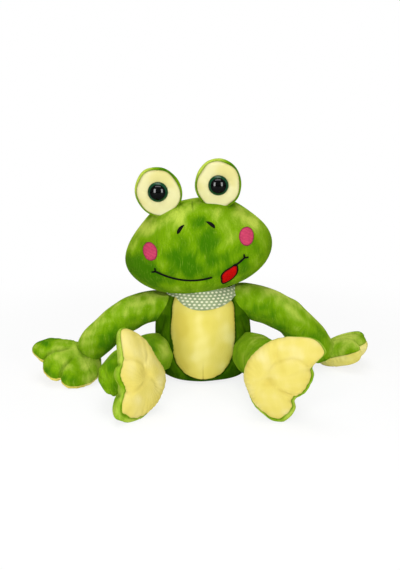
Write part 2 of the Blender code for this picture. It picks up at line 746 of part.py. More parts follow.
def mouth_point(share):
    """A point of the smile from corner to corner."""
    return (MOUTH_HALF_WIDTH * share, MOUTH_CORNER_HEIGHT - MOUTH_SAG * (1.0 - share * share))


def mouth_tick(sign):
    """The short stroke across a corner of the smile."""
    x, z = mouth_point(sign)
    return [
        (x - sign * MOUTH_TICK * TICK_SHORT_share, z + MOUTH_TICK * TICK_LONG_share),
        (x, z),
        (x + sign * MOUTH_TICK * TICK_LONG_share, z - MOUTH_TICK * TICK_SHORT_share),
    ]


def tongue_shape(grow):
    """The tongue's outline, swollen by grow."""
    wide = TONGUE_HALF_WIDTH + grow
    high = TONGUE_HALF_HEIGHT + grow
    return [(TONGUE_SPREAD + x * wide, TONGUE_HEIGHT + z * high) for x, z in TONGUE_OUTLINE_shares]


def make_face(scene, neck):
    """Embroidery that lies on the head: nostrils, cheeks, mouth and tongue."""
    sewn = make_sewer(scene, neck)
    for side, sign in SIDES.items():
        slant = math.radians(sign * NOSTRIL_SLANT_DEG)
        nostril = (NOSTRIL_SHIFT + sign * NOSTRIL_SPREAD, NOSTRIL_HEIGHT)
        cheek = (CHEEK_SHIFT + sign * CHEEK_SPREAD, CHEEK_HEIGHT)
        sewn(f"nostril_{side}", ellipse(
            nostril, NOSTRIL_WIDTH / 2, NOSTRIL_LENGTH / 2, slant, NOSTRIL_SIDES), "black")
        sewn(f"cheek_{side}", ellipse(
            cheek, CHEEK_HALF_WIDTH, CHEEK_HALF_HEIGHT, 0.0, CHEEK_SIDES), "pink")
    long_line = [mouth_point(share) for share in MOUTH_LINE_shares]
    short_line = [mouth_point(share) for share in MOUTH_CORNER_shares]
    sewn("mouth_line", stroke(long_line, MOUTH_STROKE), "black", stroke(mouth_tick(-1.0), MOUTH_STROKE))
    sewn("mouth_corner", stroke(short_line, MOUTH_STROKE), "black", stroke(mouth_tick(1.0), MOUTH_STROKE))
    sewn("tongue", tongue_shape(0.0), "red")
    sewn("tongue_outline", tongue_shape(FIT + TONGUE_STROKE), "black", hole=tongue_shape(FIT))


def collar_cage(grow):
    """The room that the neckerchief takes round the neck."""
    stations = body_stations(
        COLLAR_RINGS_shares, TORSO_HEIGHT, TORSO_HALF_WIDTH, TORSO_HALF_DEPTH, -REST_DEPTH,
        COLLAR_GAP + grow)
    return ring_cage(stations, BODY_SIDES, round_gain(BODY_SIDES))


def arm_path(side):
    """Points of an arm's middle line from the shoulder pivot, bowed upwards."""
    sign = SIDES[side]
    points = [Vector((-sign * ARM_ROOT, 0.0, 0.0))]
    for share in ARM_STATIONS_shares:
        bow = 4.0 * share * (1.0 - share) * ARM_BOW[side]
        points.append(Vector((
            sign * ARM_REACH[side] * share,
            -ARM_FORWARD[side] * share * share,
            bow - ARM_DROP[side] * share,
        )))
    return points


def arm_cage_for(side):
    """The cage of an arm about its shoulder pivot."""
    radii = [share * ARM_RADIUS for share in ARM_RADII_shares[side]]

    def cage(grow):
        return ring_cage(limb_stations(arm_path(side), radii, grow), *ring_sides(LIMB_SIDES, grow))

    return cage


def shoulder_place(side):
    return Vector((SIDES[side] * SHOULDER_SPREAD, 0.0, SHOULDER_HEIGHT[side]))


def wrist_place(side):
    return shoulder_place(side) + arm_path(side)[-2]


def make_limb(scene, limb, side, holder, cage, rooms):
    """A limb's cover and filling, open where it is sewn on."""
    cavity = add_form(scene, f"{limb}_cavity_{side}", cage, -WALL, holder)
    cover = add_form(scene, f"{limb}_cover_{side}", cage, 0.0, holder, "green")
    filling = add_form(scene, f"{limb}_stuffing_{side}", cage, -WALL - STUFFING_FIT, holder, "filling")
    boolean(cover, cavity)
    for room in rooms:
        boolean(cover, room)
        boolean(filling, room)


def make_arm(scene, side, head_sweep):
    """An arm sewn to the torso's side, swinging about its upright seam."""
    place = shoulder_place(side)
    holder = pivot(f"shoulder_{side}", place)
    scene["part"].objects.link(holder)
    back, forth = SHOULDER_RANGE_DEG[side]
    turns = [Euler((0.0, 0.0, math.radians(SIDES[side] * turn))) for turn in (forth, back)]
    beside = turned_copies(scene, f"torso_at_arm_{side}", torso_cage, place, turns)
    beside += turned_copies(scene, f"collar_at_arm_{side}", collar_cage, place, turns, len(turns))
    above = turned_copies(scene, f"head_at_arm_{side}", head_over(side), place, turns, 2 * len(turns))
    rooms = (joined(beside), joined(above), head_sweep)
    make_limb(scene, "arm", side, holder, arm_cage_for(side), rooms)


def paw_outline(shares, reach, mirror):
    """A three-toed outline as angle and radius, its middle toe along X and its heel behind."""
    points = [(angle * mirror, share * reach) for angle, share in shares]
    return points if mirror > 0 else list(reversed(points))


def paw_cage(outer, inner, reach, mirror, front, back):
    """The cage of a hand or foot from its outlines, with a front and a back swell."""

    def cage(grow):
        if grow < 0:
            outline = paw_outline(inner, reach, mirror)
            return cushion_cage(outline, PAW_INNER_SEAM_shares, front, back, grow + WALL)
        return cushion_cage(paw_outline(outer, reach, mirror), PAW_SEAM_shares, front, back, grow)

    return cage


def plane_turn(outward, along):
    """The rotation that takes Z to outward and X to along, as nearly as both allow."""
    up = Vector(outward).normalized()
    ahead = Vector(along)
    ahead = (ahead - up * ahead.dot(up)).normalized()
    return Matrix((ahead, up.cross(ahead), up)).transposed().to_euler()


def lowest_point(item):
    """The lowest height of a piece as it stands."""
    bpy.context.view_layer.update()
    shape = item.evaluated_get(bpy.context.evaluated_depsgraph_get())
    return min((shape.matrix_world @ vert.co).z for vert in shape.data.vertices)


def make_paw(scene, names, cage, plane, floor, colours, room=None):
    """A stuffed hand or foot: a cover on each side of a seam, and the filling."""
    front_name, back_name, filling_name = names
    scene["part"].objects.link(plane)
    reach = max(FOOT_REACH.values()) + OVERRUN
    behind = box(scene, f"{front_name}_behind", (-reach, -reach, -reach), (reach, reach, FIT / 2), plane)
    ahead = box(scene, f"{front_name}_ahead", (-reach, -reach, -FIT / 2), (reach, reach, reach), plane)
    cavity = add_form(scene, f"{front_name}_cavity", cage, -WALL, plane)
    front = add_form(scene, front_name, cage, 0.0, plane, colours[0])
    back = add_form(scene, back_name, cage, 0.0, plane, colours[1])
    filling = add_form(scene, filling_name, cage, -WALL - STUFFING_FIT, plane, "filling")
    plane.location.z -= lowest_point(front) + REST_DEPTH
    boolean(front, behind)
    boolean(back, ahead)
    for item in (front, back):
        boolean(item, floor)
        boolean(item, cavity)
    if room:
        for item in (front, back, filling):
            boolean(item, room)


def make_hand(scene, side, floor):
    """A hand whose back and palm meet at a seam, sewn to the end of the arm."""
    sign = SIDES[side]
    place = wrist_place(side)
    holder = pivot(f"wrist_{side}", place)
    scene["part"].objects.link(holder)
    turns = [Euler((0.0, sign * math.radians(turn), 0.0)) for turn in WRIST_RANGE_DEG]
    arm = arm_cage_for(side)

    def arm_here(grow):
        bm = arm(grow)
        bmesh.ops.translate(bm, verts=bm.verts, vec=shoulder_place(side))
        return bm

    cage = paw_cage(
        HAND_OUTLINE_shares[side], HAND_INNER_shares[side], HAND_REACH[side], sign, HAND_BACK_BULGE,
        PALM_BULGE[side])
    sweep = turned_copies(scene, f"arm_at_hand_{side}", arm_here, place, turns)
    plane = pivot(
        f"hand_plane_{side}", (sign * HAND_SIDE[side], -HAND_FORWARD[side], -HAND_DROP[side]),
        plane_turn(HAND_BACK_shares[side], FINGER_shares[side]))
    plane.parent = holder
    names = (f"hand_back_{side}", f"hand_palm_{side}", f"hand_stuffing_{side}")
    make_paw(scene, names, cage, plane, floor, ("green", "yellow"), joined(sweep))


def leg_path(side):
    """Points of a leg's middle line from the hip pivot."""
    sign = SIDES[side]
    end = Vector((sign * ANKLE_SIDE[side], -ANKLE_FORWARD[side], ANKLE_RISE[side]))
    start = Vector((-sign * LEG_ROOT_SIDE, LEG_ROOT_BACK, 0.0))
    bow = Vector((sign * KNEE_BOW[side], 0.0, 0.0))
    points = [start]
    for share in LEG_STATIONS_shares:
        points.append(end * share + bow * (4.0 * share * (1.0 - share)))
    return points


def leg_cage_for(side):
    """The cage of a leg about its hip pivot."""
    radii = [share * LEG_RADIUS for share in LEG_RADII_shares]

    def cage(grow):
        return ring_cage(limb_stations(leg_path(side), radii, grow), *ring_sides(LIMB_SIDES, grow))

    return cage


def hip_place(side):
    return Vector((SIDES[side] * HIP_SPREAD, -HIP_FORWARD, HIP_HEIGHT))


def ankle_place(side):
    return hip_place(side) + leg_path(side)[-2]


def make_leg(scene, side, foot_sweep):
    """A leg sewn to the torso's lower side, swinging about its upright seam."""
    sign = SIDES[side]
    place = hip_place(side)
    holder = pivot(f"hip_{side}", place)
    scene["part"].objects.link(holder)
    turns = [Euler((0.0, 0.0, math.radians(-sign * turn))) for turn in HIP_RANGE_DEG]
    sweep = turned_copies(scene, f"torso_at_leg_{side}", torso_cage, place, turns)
    make_limb(scene, "leg", side, holder, leg_cage_for(side), (joined(sweep), joined(foot_sweep)))


def foot_turn(side):
    """The sole's plane: local Z out of the sole, local X along the middle toe."""
    yaw = Matrix.Rotation(math.radians(FOOT_YAW_DEG[side]), 4, "Z")
    upright = Matrix.Rotation(math.pi / 2 - math.radians(FOOT_LEAN_DEG[side]), 4, "X")
    roll = Matrix.Rotation(math.radians(FOOT_ROLL_DEG[side]), 4, "Z")
    return (yaw @ upright @ roll).to_euler()


def foot_centre(side):
    """The middle of the sole's seam from the ankle pivot: out of the sole and along it."""
    yaw = math.radians(FOOT_YAW_DEG[side])
    out = Vector((math.sin(yaw), -math.cos(yaw), 0.0))
    across = Vector((math.cos(yaw), math.sin(yaw), 0.0))
    return out * FOOT_STEP[side] + across * FOOT_ACROSS[side]


def make_foot(scene, side, floor):
    """A foot with a yellow sole and a green upper, and the room that its turning takes."""
    place = ankle_place(side)
    holder = pivot(f"ankle_{side}", place)
    scene["part"].objects.link(holder)
    cage = paw_cage(
        FOOT_OUTLINE_shares[side], FOOT_INNER_shares[side], FOOT_REACH[side], SIDES[side], SOLE_BULGE,
        UPPER_BULGE)
    plane = pivot(f"foot_plane_{side}", foot_centre(side), foot_turn(side))
    plane.parent = holder
    names = (f"foot_sole_{side}", f"foot_upper_{side}", f"foot_stuffing_{side}")
    make_paw(scene, names, cage, plane, floor, ("yellow", "green"))
    sweep = []
    for index, turn in enumerate((-ANKLE_RANGE_DEG, ANKLE_RANGE_DEG)):
        ankle = pivot(f"foot_turn_{side}_{index}", place, (0.0, 0.0, math.radians(turn)))
        scene["cutters"].objects.link(ankle)
        sole = pivot(f"foot_turn_plane_{side}_{index}", plane.location, plane.rotation_euler)
        sole.parent = ankle
        scene["cutters"].objects.link(sole)
        grow = JOINT_FIT + index * UNEVEN_FIT
        sweep.append(add_form(scene, f"foot_sweep_{side}_{index}", cage, grow, sole))
    return sweep


def make_surface(scene):
    """A function that gives a point a named lift above the torso's neck, seen from its middle."""
    guide = add_form(scene, "torso_guide", torso_cage, 0.0)
    bpy.context.view_layer.update()
    tree = BVHTree.FromObject(guide, bpy.context.evaluated_depsgraph_get())

    def surface(angle, height, lift):
        out = Vector((math.cos(angle), math.sin(angle), 0.0))
        start = Vector((0.0, 0.0, height))
        hit, normal, _, _ = tree.ray_cast(start, out)
        return hit + normal * lift

    return surface


def add_sheet(scene, name, rows, closed, colour):
    """A sheet through rows of points, given the cloth's thickness."""
    bm = bmesh.new()
    lines = [[bm.verts.new(point) for point in row] for row in rows]
    for lower, upper in zip(lines, lines[1:]):
        count = len(lower)
        for step in range(count if closed else count - 1):
            after = (step + 1) % count
            bm.faces.new((lower[step], lower[after], upper[after], upper[step]))
    item = add_mesh(scene, name, bm, colour=colour)
    solidify = item.modifiers.new("cloth", "SOLIDIFY")
    solidify.thickness = CLOTH
    solidify.offset = 0.0
    return item


def make_bandana(scene, head_sweep):
    """A neckerchief round the neck with its flap on the chest, and its knot and tails behind."""
    surface = make_surface(scene)
    lift = CLOTH_GAP + CLOTH / 2
    rows = []
    for row in range(BANDANA_ROWS):
        up = row / (BANDANA_ROWS - 1)
        pleat = BANDANA_PLEAT * math.sin(math.pi * BANDANA_PLEATS * up) ** 2
        line = []
        for step in range(BANDANA_STEPS):
            degrees = 360.0 * step / BANDANA_STEPS - 180.0
            side = "left" if degrees > BANDANA_TIP_DEG else "right"
            share = min(abs(degrees - BANDANA_TIP_DEG) / BANDANA_FLAP_DEG[side], 1.0)
            dip = (BANDANA_SIDE_EDGE - BANDANA_TIP_EDGE) * (1.0 - share ** 2)
            edge = BANDANA_SIDE_EDGE - dip
            height = edge + (BANDANA_TOP - edge) * up
            line.append(surface(math.radians(degrees), height, lift + pleat))
        rows.append(line)
    band = add_sheet(scene, "bandana", rows, True, "sage")
    boolean(band, head_sweep)

    stand_off = CLOTH_GAP + CLOTH + BANDANA_PLEAT + FIT + KNOT_HALF_DEPTH * KNOT_ROUND_share
    behind = surface(math.pi / 2, KNOT_HEIGHT, stand_off)
    bm = bmesh.new()
    bmesh.ops.create_cube(bm, size=2.0)
    bmesh.ops.scale(bm, verts=bm.verts, vec=(KNOT_HALF_WIDTH, KNOT_HALF_DEPTH, KNOT_HALF_HEIGHT))
    bmesh.ops.translate(bm, verts=bm.verts, vec=behind)
    soften(add_mesh(scene, "bandana_knot", bm, colour="sage"), 2)

    for side, sign in SIDES.items():
        rows = []
        top = KNOT_HEIGHT - KNOT_HALF_HEIGHT * TAIL_TOP_share
        for row in range(BANDANA_ROWS):
            up = row / (BANDANA_ROWS - 1)
            middle = math.pi / 2 - sign * math.radians(TAIL_SPREAD_DEG) * (1.0 + TAIL_FLARE_share * up)
            first, second = TAIL_WIDTH_shares
            spread = TAIL_WIDTH / TORSO_HALF_DEPTH * (first + (second - first) * up)
            line = []
            for share in TAIL_ACROSS_shares:
                angle = middle + spread * share
                line.append(surface(angle, top - TAIL_LENGTH * up, lift))
            rows.append(line)
        add_sheet(scene, f"bandana_tail_{side}", rows, False, "sage")


def main():
    scene = start_scene()
    reach = ARM_REACH["left"] + ARM_REACH["right"] + OVERRUN
    floor = box(scene, "floor_cut", (-reach, -reach, -OVERRUN), (reach, reach, 0.0))
    neck = pivot("neck", (NECK_SIDE, 0.0, NECK_HEIGHT), neck_turn(0.0))
    scene["part"].objects.link(neck)
    head_sweep = make_head_sweep(scene)
    make_torso(scene, head_sweep, floor)
    make_head(scene, neck)
    make_face(scene, neck)
    for side in SIDES:
        make_pod(scene, side, neck)
        make_arm(scene, side, head_sweep)
        make_hand(scene, side, floor)
        make_leg(scene, side, make_foot(scene, side, floor))
    make_bandana(scene, head_sweep)


main()
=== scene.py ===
"""Plush frog on a pale floor: fine skins, seams, embroidery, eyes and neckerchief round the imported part."""

import math

import bmesh
import bpy
import numpy as np
from mathutils import Euler, Matrix, Vector
from mathutils.bvhtree import BVHTree


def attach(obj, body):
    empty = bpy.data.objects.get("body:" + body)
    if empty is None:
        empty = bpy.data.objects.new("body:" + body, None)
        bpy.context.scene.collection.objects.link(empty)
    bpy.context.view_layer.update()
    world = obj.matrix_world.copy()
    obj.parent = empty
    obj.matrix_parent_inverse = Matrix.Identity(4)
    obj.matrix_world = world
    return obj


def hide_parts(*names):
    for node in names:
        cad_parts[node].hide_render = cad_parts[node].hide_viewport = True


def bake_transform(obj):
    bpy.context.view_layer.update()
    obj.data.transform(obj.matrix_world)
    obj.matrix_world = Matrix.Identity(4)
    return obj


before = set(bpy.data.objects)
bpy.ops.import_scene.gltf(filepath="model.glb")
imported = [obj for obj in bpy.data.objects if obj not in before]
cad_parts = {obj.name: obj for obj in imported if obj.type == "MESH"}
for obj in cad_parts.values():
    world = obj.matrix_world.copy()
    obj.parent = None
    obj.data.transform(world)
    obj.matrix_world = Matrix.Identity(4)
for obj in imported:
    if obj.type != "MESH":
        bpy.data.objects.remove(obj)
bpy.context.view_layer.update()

MM = 0.001
SIDES = {"left": 1.0, "right": -1.0}

# Sizes shared with the part
REST_DEPTH = 0.5 * MM
TORSO_HEIGHT = 127 * MM
TORSO_HALF_WIDTH = 59 * MM
TORSO_HALF_DEPTH = 47 * MM
TORSO_RINGS = (
    (0.00, 0.78, 0.86, 0.10), (0.045, 0.96, 1.04, 0.06), (0.24, 1.05, 1.07, 0.03), (0.50, 1.03, 1.01, 0.00),
    (0.70, 0.97, 0.92, -0.02), (0.79, 0.74, 0.76, -0.04), (0.98, 0.60, 0.62, -0.05),
)
BELLY_HALF_WIDTH = 39.5 * MM
BELLY_BOTTOM = 6 * MM
BELLY_TOP = 122 * MM
BELLY_OUTLINE = (
    (0.00, 0.00), (0.32, 0.02), (0.60, 0.07), (0.81, 0.155), (0.94, 0.27), (1.00, 0.42), (1.00, 0.58),
    (0.96, 0.75), (0.86, 0.88), (0.70, 1.00),
)
NECK = Vector((3.5 * MM, 0.0, 104 * MM))
HEAD_TILT = math.radians(-9.0)
HEAD_HALF_WIDTH = 89 * MM
HEAD_HALF_DEPTH = 56 * MM
HEAD_HEIGHT = 114 * MM
HEAD_CLEAR = 6 * MM
HEAD_RINGS = (
    (0.00, 0.34, 0.40, 0.00), (0.05, 0.64, 0.74, 0.02), (0.19, 0.91, 0.97, 0.06), (0.38, 1.06, 1.06, 0.06),
    (0.58, 0.99, 1.03, 0.02), (0.76, 0.80, 0.90, -0.03), (0.90, 0.59, 0.70, -0.06),
    (0.985, 0.36, 0.42, -0.06),
)
POD_SPREAD = 36 * MM
POD_HEIGHT = {"left": 134 * MM, "right": 136 * MM}
POD_FORWARD = 20 * MM
POD_HALF_WIDTH = 27.2 * MM
POD_HALF_HEIGHT = 30 * MM
POD_FRONT_BULGE = 5 * MM
POD_BACK_BULGE = 22 * MM
POD_LEAN = {"left": 10.0, "right": 16.0}
POD_SEAM = ((0.45, 1.0), (0.88, 0.66), (1.05, -0.04), (0.90, -0.66), (0.42, -1.0))
EYE_RADIUS = 12 * MM
EYE_HEIGHT = 7 * MM
EYE_RISE = {"left": 0.0, "right": 1.5 * MM}
FIT = 0.3 * MM
NOSTRIL_SHIFT = 2 * MM
NOSTRIL_SPREAD = 17.5 * MM
NOSTRIL_HEIGHT = 92 * MM
CHEEK_SHIFT = 1.8 * MM
CHEEK_SPREAD = 58 * MM
CHEEK_HEIGHT = 71 * MM
CHEEK_HALF_WIDTH = 9 * MM
CHEEK_HALF_HEIGHT = 10.5 * MM
MOUTH_HALF_WIDTH = 54 * MM
MOUTH_CORNER_HEIGHT = 47.5 * MM
MOUTH_SAG = 17 * MM
MOUTH_TICK = 6 * MM
TONGUE_SPREAD = 33 * MM
TONGUE_HEIGHT = 29.5 * MM
TONGUE_HALF_WIDTH = 9.5 * MM
TONGUE_HALF_HEIGHT = 10 * MM
TONGUE_OUTLINE = (
    (-0.95, 0.20), (-0.46, 0.62), (0.18, 0.88), (0.68, 1.08), (0.96, 1.16), (1.04, 0.66), (0.84, 0.06),
    (0.36, -0.42), (-0.20, -0.72), (-0.66, -0.86), (-1.02, -0.86), (-1.02, -0.36),
)
SHOULDER_SPREAD = 50 * MM
ARM_RADIUS = 22.5 * MM
ARM_RADII = {"left": (0.96, 0.99, 1.0, 1.0, 0.88, 0.68), "right": (0.82, 0.84, 0.92, 0.97, 0.86, 0.66)}
ARM_BOW = {"left": 18 * MM, "right": 14 * MM}
ARM_ROOT = 16 * MM
SHOULDER_HEIGHT = {"left": 95 * MM, "right": 89 * MM}
ARM_REACH = {"left": 103 * MM, "right": 90 * MM}
ARM_DROP = {"left": 71 * MM, "right": 49 * MM}
ARM_FORWARD = {"left": -15 * MM, "right": 30 * MM}
ARM_STATIONS = (0.0, 0.33, 0.68, 1.0, 1.08)
HAND_REACH = {"left": 50 * MM, "right": 53 * MM}
PALM_BULGE = {"left": 18 * MM, "right": 14 * MM}
HAND_BACK_BULGE = 15 * MM
HAND_SIDE = {"left": 25 * MM, "right": 21 * MM}
HAND_FORWARD = {"left": -8 * MM, "right": 5 * MM}
HAND_DROP = {"left": 4 * MM, "right": 12 * MM}
HAND_BACK = {"left": (-0.36, 0.04, 0.93), "right": (0.12, -0.56, 0.82)}
FINGER = {"left": (0.90, -0.22, 0.30), "right": (-0.88, -0.38, -0.22)}
HIP_SPREAD = 54 * MM
HIP_FORWARD = 14 * MM
HIP_HEIGHT = 32 * MM
LEG_RADIUS = 26.5 * MM
LEG_RADII = (0.60, 0.96, 1.0, 0.97, 0.90, 0.75)
LEG_STATIONS = (0.0, 0.35, 0.70, 1.0, 1.10)
LEG_ROOT_SIDE = 18 * MM
LEG_ROOT_BACK = 22 * MM
ANKLE_SIDE = {"left": 24 * MM, "right": 42 * MM}
ANKLE_FORWARD = {"left": 130 * MM, "right": 124 * MM}
ANKLE_RISE = {"left": 16 * MM, "right": 10 * MM}
KNEE_BOW = {"left": 8 * MM, "right": 6 * MM}
FOOT_REACH = {"left": 68 * MM, "right": 71 * MM}
SOLE_BULGE = 10 * MM
UPPER_BULGE = 19 * MM
FOOT_STEP = {"left": 21 * MM, "right": 27.5 * MM}
FOOT_YAW = {"left": -10.0, "right": 44.0}
FOOT_ROLL = {"left": -20.0, "right": 172.0}
FOOT_ACROSS = {"left": -2 * MM, "right": 12.5 * MM}
FOOT_LEAN = {"left": 0.0, "right": 8.0}
HAND_OUTLINE = {
    "left": (
        (0, 0.74), (14, 0.76), (26, 0.59), (38, 0.90), (50, 0.82), (68, 0.69), (92, 0.56), (122, 0.55),
        (152, 0.64), (182, 0.77), (212, 0.66), (240, 0.60), (266, 0.59), (288, 0.67), (306, 0.79),
        (320, 0.87), (334, 0.55), (347, 0.74),
    ),
    "right": (
        (2, 0.78), (18, 0.71), (27, 0.81), (38, 1.06), (50, 1.09), (64, 0.92), (82, 0.78), (104, 0.61),
        (128, 0.57), (156, 0.66), (186, 0.74), (214, 0.74), (242, 0.83), (268, 0.78), (292, 0.79),
        (308, 0.75), (321, 0.57), (334, 0.73), (349, 0.75),
    ),
}
FOOT_OUTLINE = {
    "left": (
        (15, 0.68), (29, 0.77), (41, 0.72), (44, 0.87), (47, 0.99), (49, 1.11), (58, 1.12), (69, 1.07),
        (82, 0.90), (103, 0.77), (129, 0.60), (163, 0.51), (194, 0.47), (224, 0.45), (259, 0.55),
        (286, 0.67), (304, 0.82), (319, 0.74), (337, 0.66), (341, 0.49), (359, 0.63),
    ),
    "right": (
        (4, 0.50), (18, 0.56), (33, 0.55), (45, 0.60), (53, 0.74), (59, 0.99), (66, 1.03), (80, 0.86),
        (98, 0.68), (130, 0.46), (160, 0.54), (186, 0.53), (210, 0.51), (238, 0.54), (266, 0.62),
        (290, 0.72), (306, 0.76), (319, 0.82), (336, 0.52), (349, 0.41),
    ),
}
PAW_SEAM = ((0.42, 1.0), (0.82, 0.66), (1.0, -0.05), (0.80, -0.80), (0.40, -1.0))
CLOTH = 1.4 * MM
CLOTH_GAP = 0.6 * MM
BANDANA_TOP = 112 * MM
BANDANA_SIDE_EDGE = 103 * MM
BANDANA_TIP_EDGE = 91 * MM
BANDANA_TIP = -94.0
BANDANA_FLAP = {"left": 69.0, "right": 50.0}
BANDANA_PLEAT = 1.3 * MM
KNOT_HEIGHT = 105 * MM
KNOT_ROUND = 0.80
KNOT_HALF = Vector((9 * MM, 5 * MM, 6 * MM))
TAIL_LENGTH = 24 * MM
TAIL_WIDTH = 13 * MM
TAIL_SPREAD = 11.0

# Values of the scene alone
# what the right side adds to the left side's seeds
SECOND = {"left": 0, "right": 1}
WAVE_COUNT = 14
# from how far out rays are cast at a form
FAR = 0.2
# how far each half of a stuffed form reaches past their seam plane
SEAM_LAP = 0.1 * MM
BELLY_RISE = BELLY_TOP - BELLY_BOTTOM
# folds over the hips: where they start to the side and up, and their depth, in mm
HIP_FOLDS = ((50.0, 70.0, 1.4), (46.0, 82.0, 0.9))
HEAD_FRAME = Matrix.Translation(NECK) @ Euler((0.0, HEAD_TILT, 0.0)).to_matrix().to_4x4()
DART = ((1.5 * MM, 107 * MM), (1.7 * MM, 112 * MM), (1.5 * MM, 117.5 * MM))
MOUTH_SHARES = (-1.0, -0.8, -0.6, -0.38, -0.15, 0.05, 0.23)
PAD_HEIGHT = 1.1 * MM
NOSTRIL_SLANT = 47.0
NOSTRIL_REACH = 6.4 * MM
NOSTRIL_BOW = 1.2 * MM
POD_SEAM_HEIGHT = 1.6 * MM
# how far down each arm its dark side patch lies, and how much lighter each hand's pile is made
ARM_DARK = {"left": 0.80, "right": 0.72}
HAND_GLOW = {"left": 0.18, "right": 0.04}
# the size of the thread's waves, of which a stitch takes up about a third
THREAD_SIZE = 11 * MM
# the cloth's girth, and from dot to dot across it and down it, in mm
BANDANA_GIRTH = 2.0 * math.pi * 36.0
DOT_ACROSS = 5.8
DOT_DOWN = 3.4
CAMERA_TARGET = Vector((-3.75 * MM, 0.0, 113.5 * MM))
CAMERA_RISE = math.radians(14.0)
CAMERA_DISTANCE = 1.150
CAMERA_LENS = 920.0 / 570.0
SENSOR = 36.0
WORLD_LIGHT = 0.22
# name, place, width, height and power
LIGHTS = (
    ("strip_left", (-0.48, -1.12, 0.32), 0.26, 0.50, 5.4),
    ("strip_right", (0.48, -1.12, 0.32), 0.26, 0.50, 4.8),
    ("front_light", (-0.05, -1.10, 1.05), 0.9, 0.22, 3.6),
    ("top_light", (-0.10, -0.05, 1.5), 1.5, 0.8, 14.0),
)
# how high each shoulder may reach under the tilting head: places to the side and heights, in mm
HEAD_ROOM = {
    "left": ((36, 40, 44, 48, 52, 58), (112.6, 113.4, 114.2, 115.1, 115.7, 119.0)),
    "right": ((40, 48, 52, 56, 60, 65, 70), (102.6, 103.0, 103.5, 104.1, 105.2, 106.6, 109.0)),
}
# patches on the face, partly brushed pile and partly painted highlights and painted shade, in the head's own
# frame: sideways, up, radius, lightness
HEAD_PATCHES = (
    (16, 74, 14, -0.50), (6, 98, 9, -0.34), (-18, 83, 8, -0.22), (-77, 52, 15, -0.46), (-28, 63, 15, -0.22),
    (-10, 48, 15, -0.28), (18, 55, 9, -0.14), (80, 60, 12, 0.10), (-60, 38, 11, -0.34), (54, 33, 10, -0.10),
    (45, 109, 7, -0.36), (-21, 105, 13, 0.10), (2, 117, 12, 0.12), (33, 102, 10, 0.10),
    (56, 96, 11, 0.26), (71, 82, 11, 0.34), (-80, 73, 9, 0.34), (-62, 98, 11, 0.34), (-39, 100, 9, 0.16),
    (-45, 57, 8, 0.12), (37, 73, 7, 0.26), (27, 65, 6, 0.22), (63, 40, 7, 0.12), (-34, 23, 8, 0.22),
    (-4, 19, 9, 0.20), (-35, 76, 8, 0.14), (53, 52, 6, 0.16), (30, 26, 9, 0.10),
)
# folds: side of the seam, points as shares of the reach, width and depth in mm, darkness
HAND_CREASES = {
    "left": (
        (1.0, ((0.64, 0.33), (0.42, 0.20), (0.16, 0.12), (-0.12, 0.08)), 2.4, 3.2, 0.45),
        (1.0, ((0.62, -0.32), (0.40, -0.20), (0.14, -0.10), (-0.12, -0.04)), 2.4, 3.2, 0.45),
        (-1.0, ((0.64, 0.33), (0.40, 0.20), (0.16, 0.12)), 2.8, 2.0, 0.25),
        (-1.0, ((0.62, -0.32), (0.36, -0.20), (0.14, -0.10)), 2.8, 2.0, 0.25),
    ),
    "right": (
        (1.0, ((0.66, 0.26), (0.46, 0.25), (0.24, 0.22), (0.03, 0.20), (-0.12, 0.16)), 2.4, 3.2, 0.45),
        (1.0, ((0.45, -0.36), (0.36, -0.26), (0.22, -0.19), (0.06, -0.12), (-0.06, 0.0)), 2.4, 3.2, 0.45),
        (-1.0, ((0.64, 0.26), (0.40, 0.20), (0.16, 0.12)), 2.8, 2.0, 0.25),
        (-1.0, ((0.45, -0.36), (0.28, -0.22), (0.10, -0.12)), 2.8, 2.0, 0.25),
    ),
}
FOOT_CREASES = {
    "left": (
        (1.0, ((0.47, 0.50), (0.33, 0.54), (0.17, 0.50), (0.03, 0.40), (-0.05, 0.27), (-0.06, 0.13),
               (-0.01, 0.04)), 1.9, 1.7, 0.30),
        (1.0, ((0.44, -0.07), (0.30, -0.06), (0.16, -0.04), (0.06, 0.0), (-0.02, 0.06)), 1.9, 1.7, 0.30),
        (1.0, ((0.02, 0.40), (-0.05, 0.50), (-0.10, 0.62)), 2.4, 0.9, 0.14),
        (1.0, ((-0.01, 0.03), (-0.06, -0.14), (-0.08, -0.30)), 2.6, 0.8, 0.12),
        (1.0, ((-0.03, 0.05), (-0.17, -0.04), (-0.26, -0.15)), 2.6, 0.7, 0.10),
        (-1.0, ((0.47, 0.40), (0.28, 0.28), (0.05, 0.16)), 2.6, 2.0, 0.35),
        (-1.0, ((0.40, -0.10), (0.24, -0.08), (0.05, -0.02)), 2.6, 2.0, 0.35),
    ),
    "right": (
        (1.0, ((0.50, 0.35), (0.38, 0.38), (0.25, 0.37), (0.11, 0.31), (0.03, 0.20)), 2.2, 1.3, 0.24),
        (1.0, ((0.46, -0.10), (0.32, -0.12), (0.17, -0.08), (0.06, 0.01), (0.02, 0.12)), 2.2, 1.3, 0.24),
        (1.0, ((0.06, 0.28), (-0.02, 0.38), (-0.02, 0.50)), 2.6, 0.9, 0.14),
        (1.0, ((-0.02, 0.10), (-0.16, -0.02), (-0.24, -0.18)), 2.8, 0.8, 0.12),
        (-1.0, ((0.48, 0.30), (0.28, 0.22), (0.05, 0.12)), 2.6, 2.0, 0.35),
        (-1.0, ((0.42, -0.20), (0.24, -0.14), (0.05, -0.06)), 2.6, 2.0, 0.35),
    ),
}
# where the sole's seam lies before the widest place, how much more so at the toes, and which way
FOOT_SEAM = {"left": (0.0, 0.10, -0.62), "right": (0.2 * MM, 0.10, 0.50)}
FOOT_DIMPLE = {"left": (-0.01, 0.05, 2.6, 6.0), "right": (0.03, 0.15, 2.0, 7.0)}

X = Vector((1, 0, 0))
Y = Vector((0, 1, 0))
Z = Vector((0, 0, 1))


# Forms

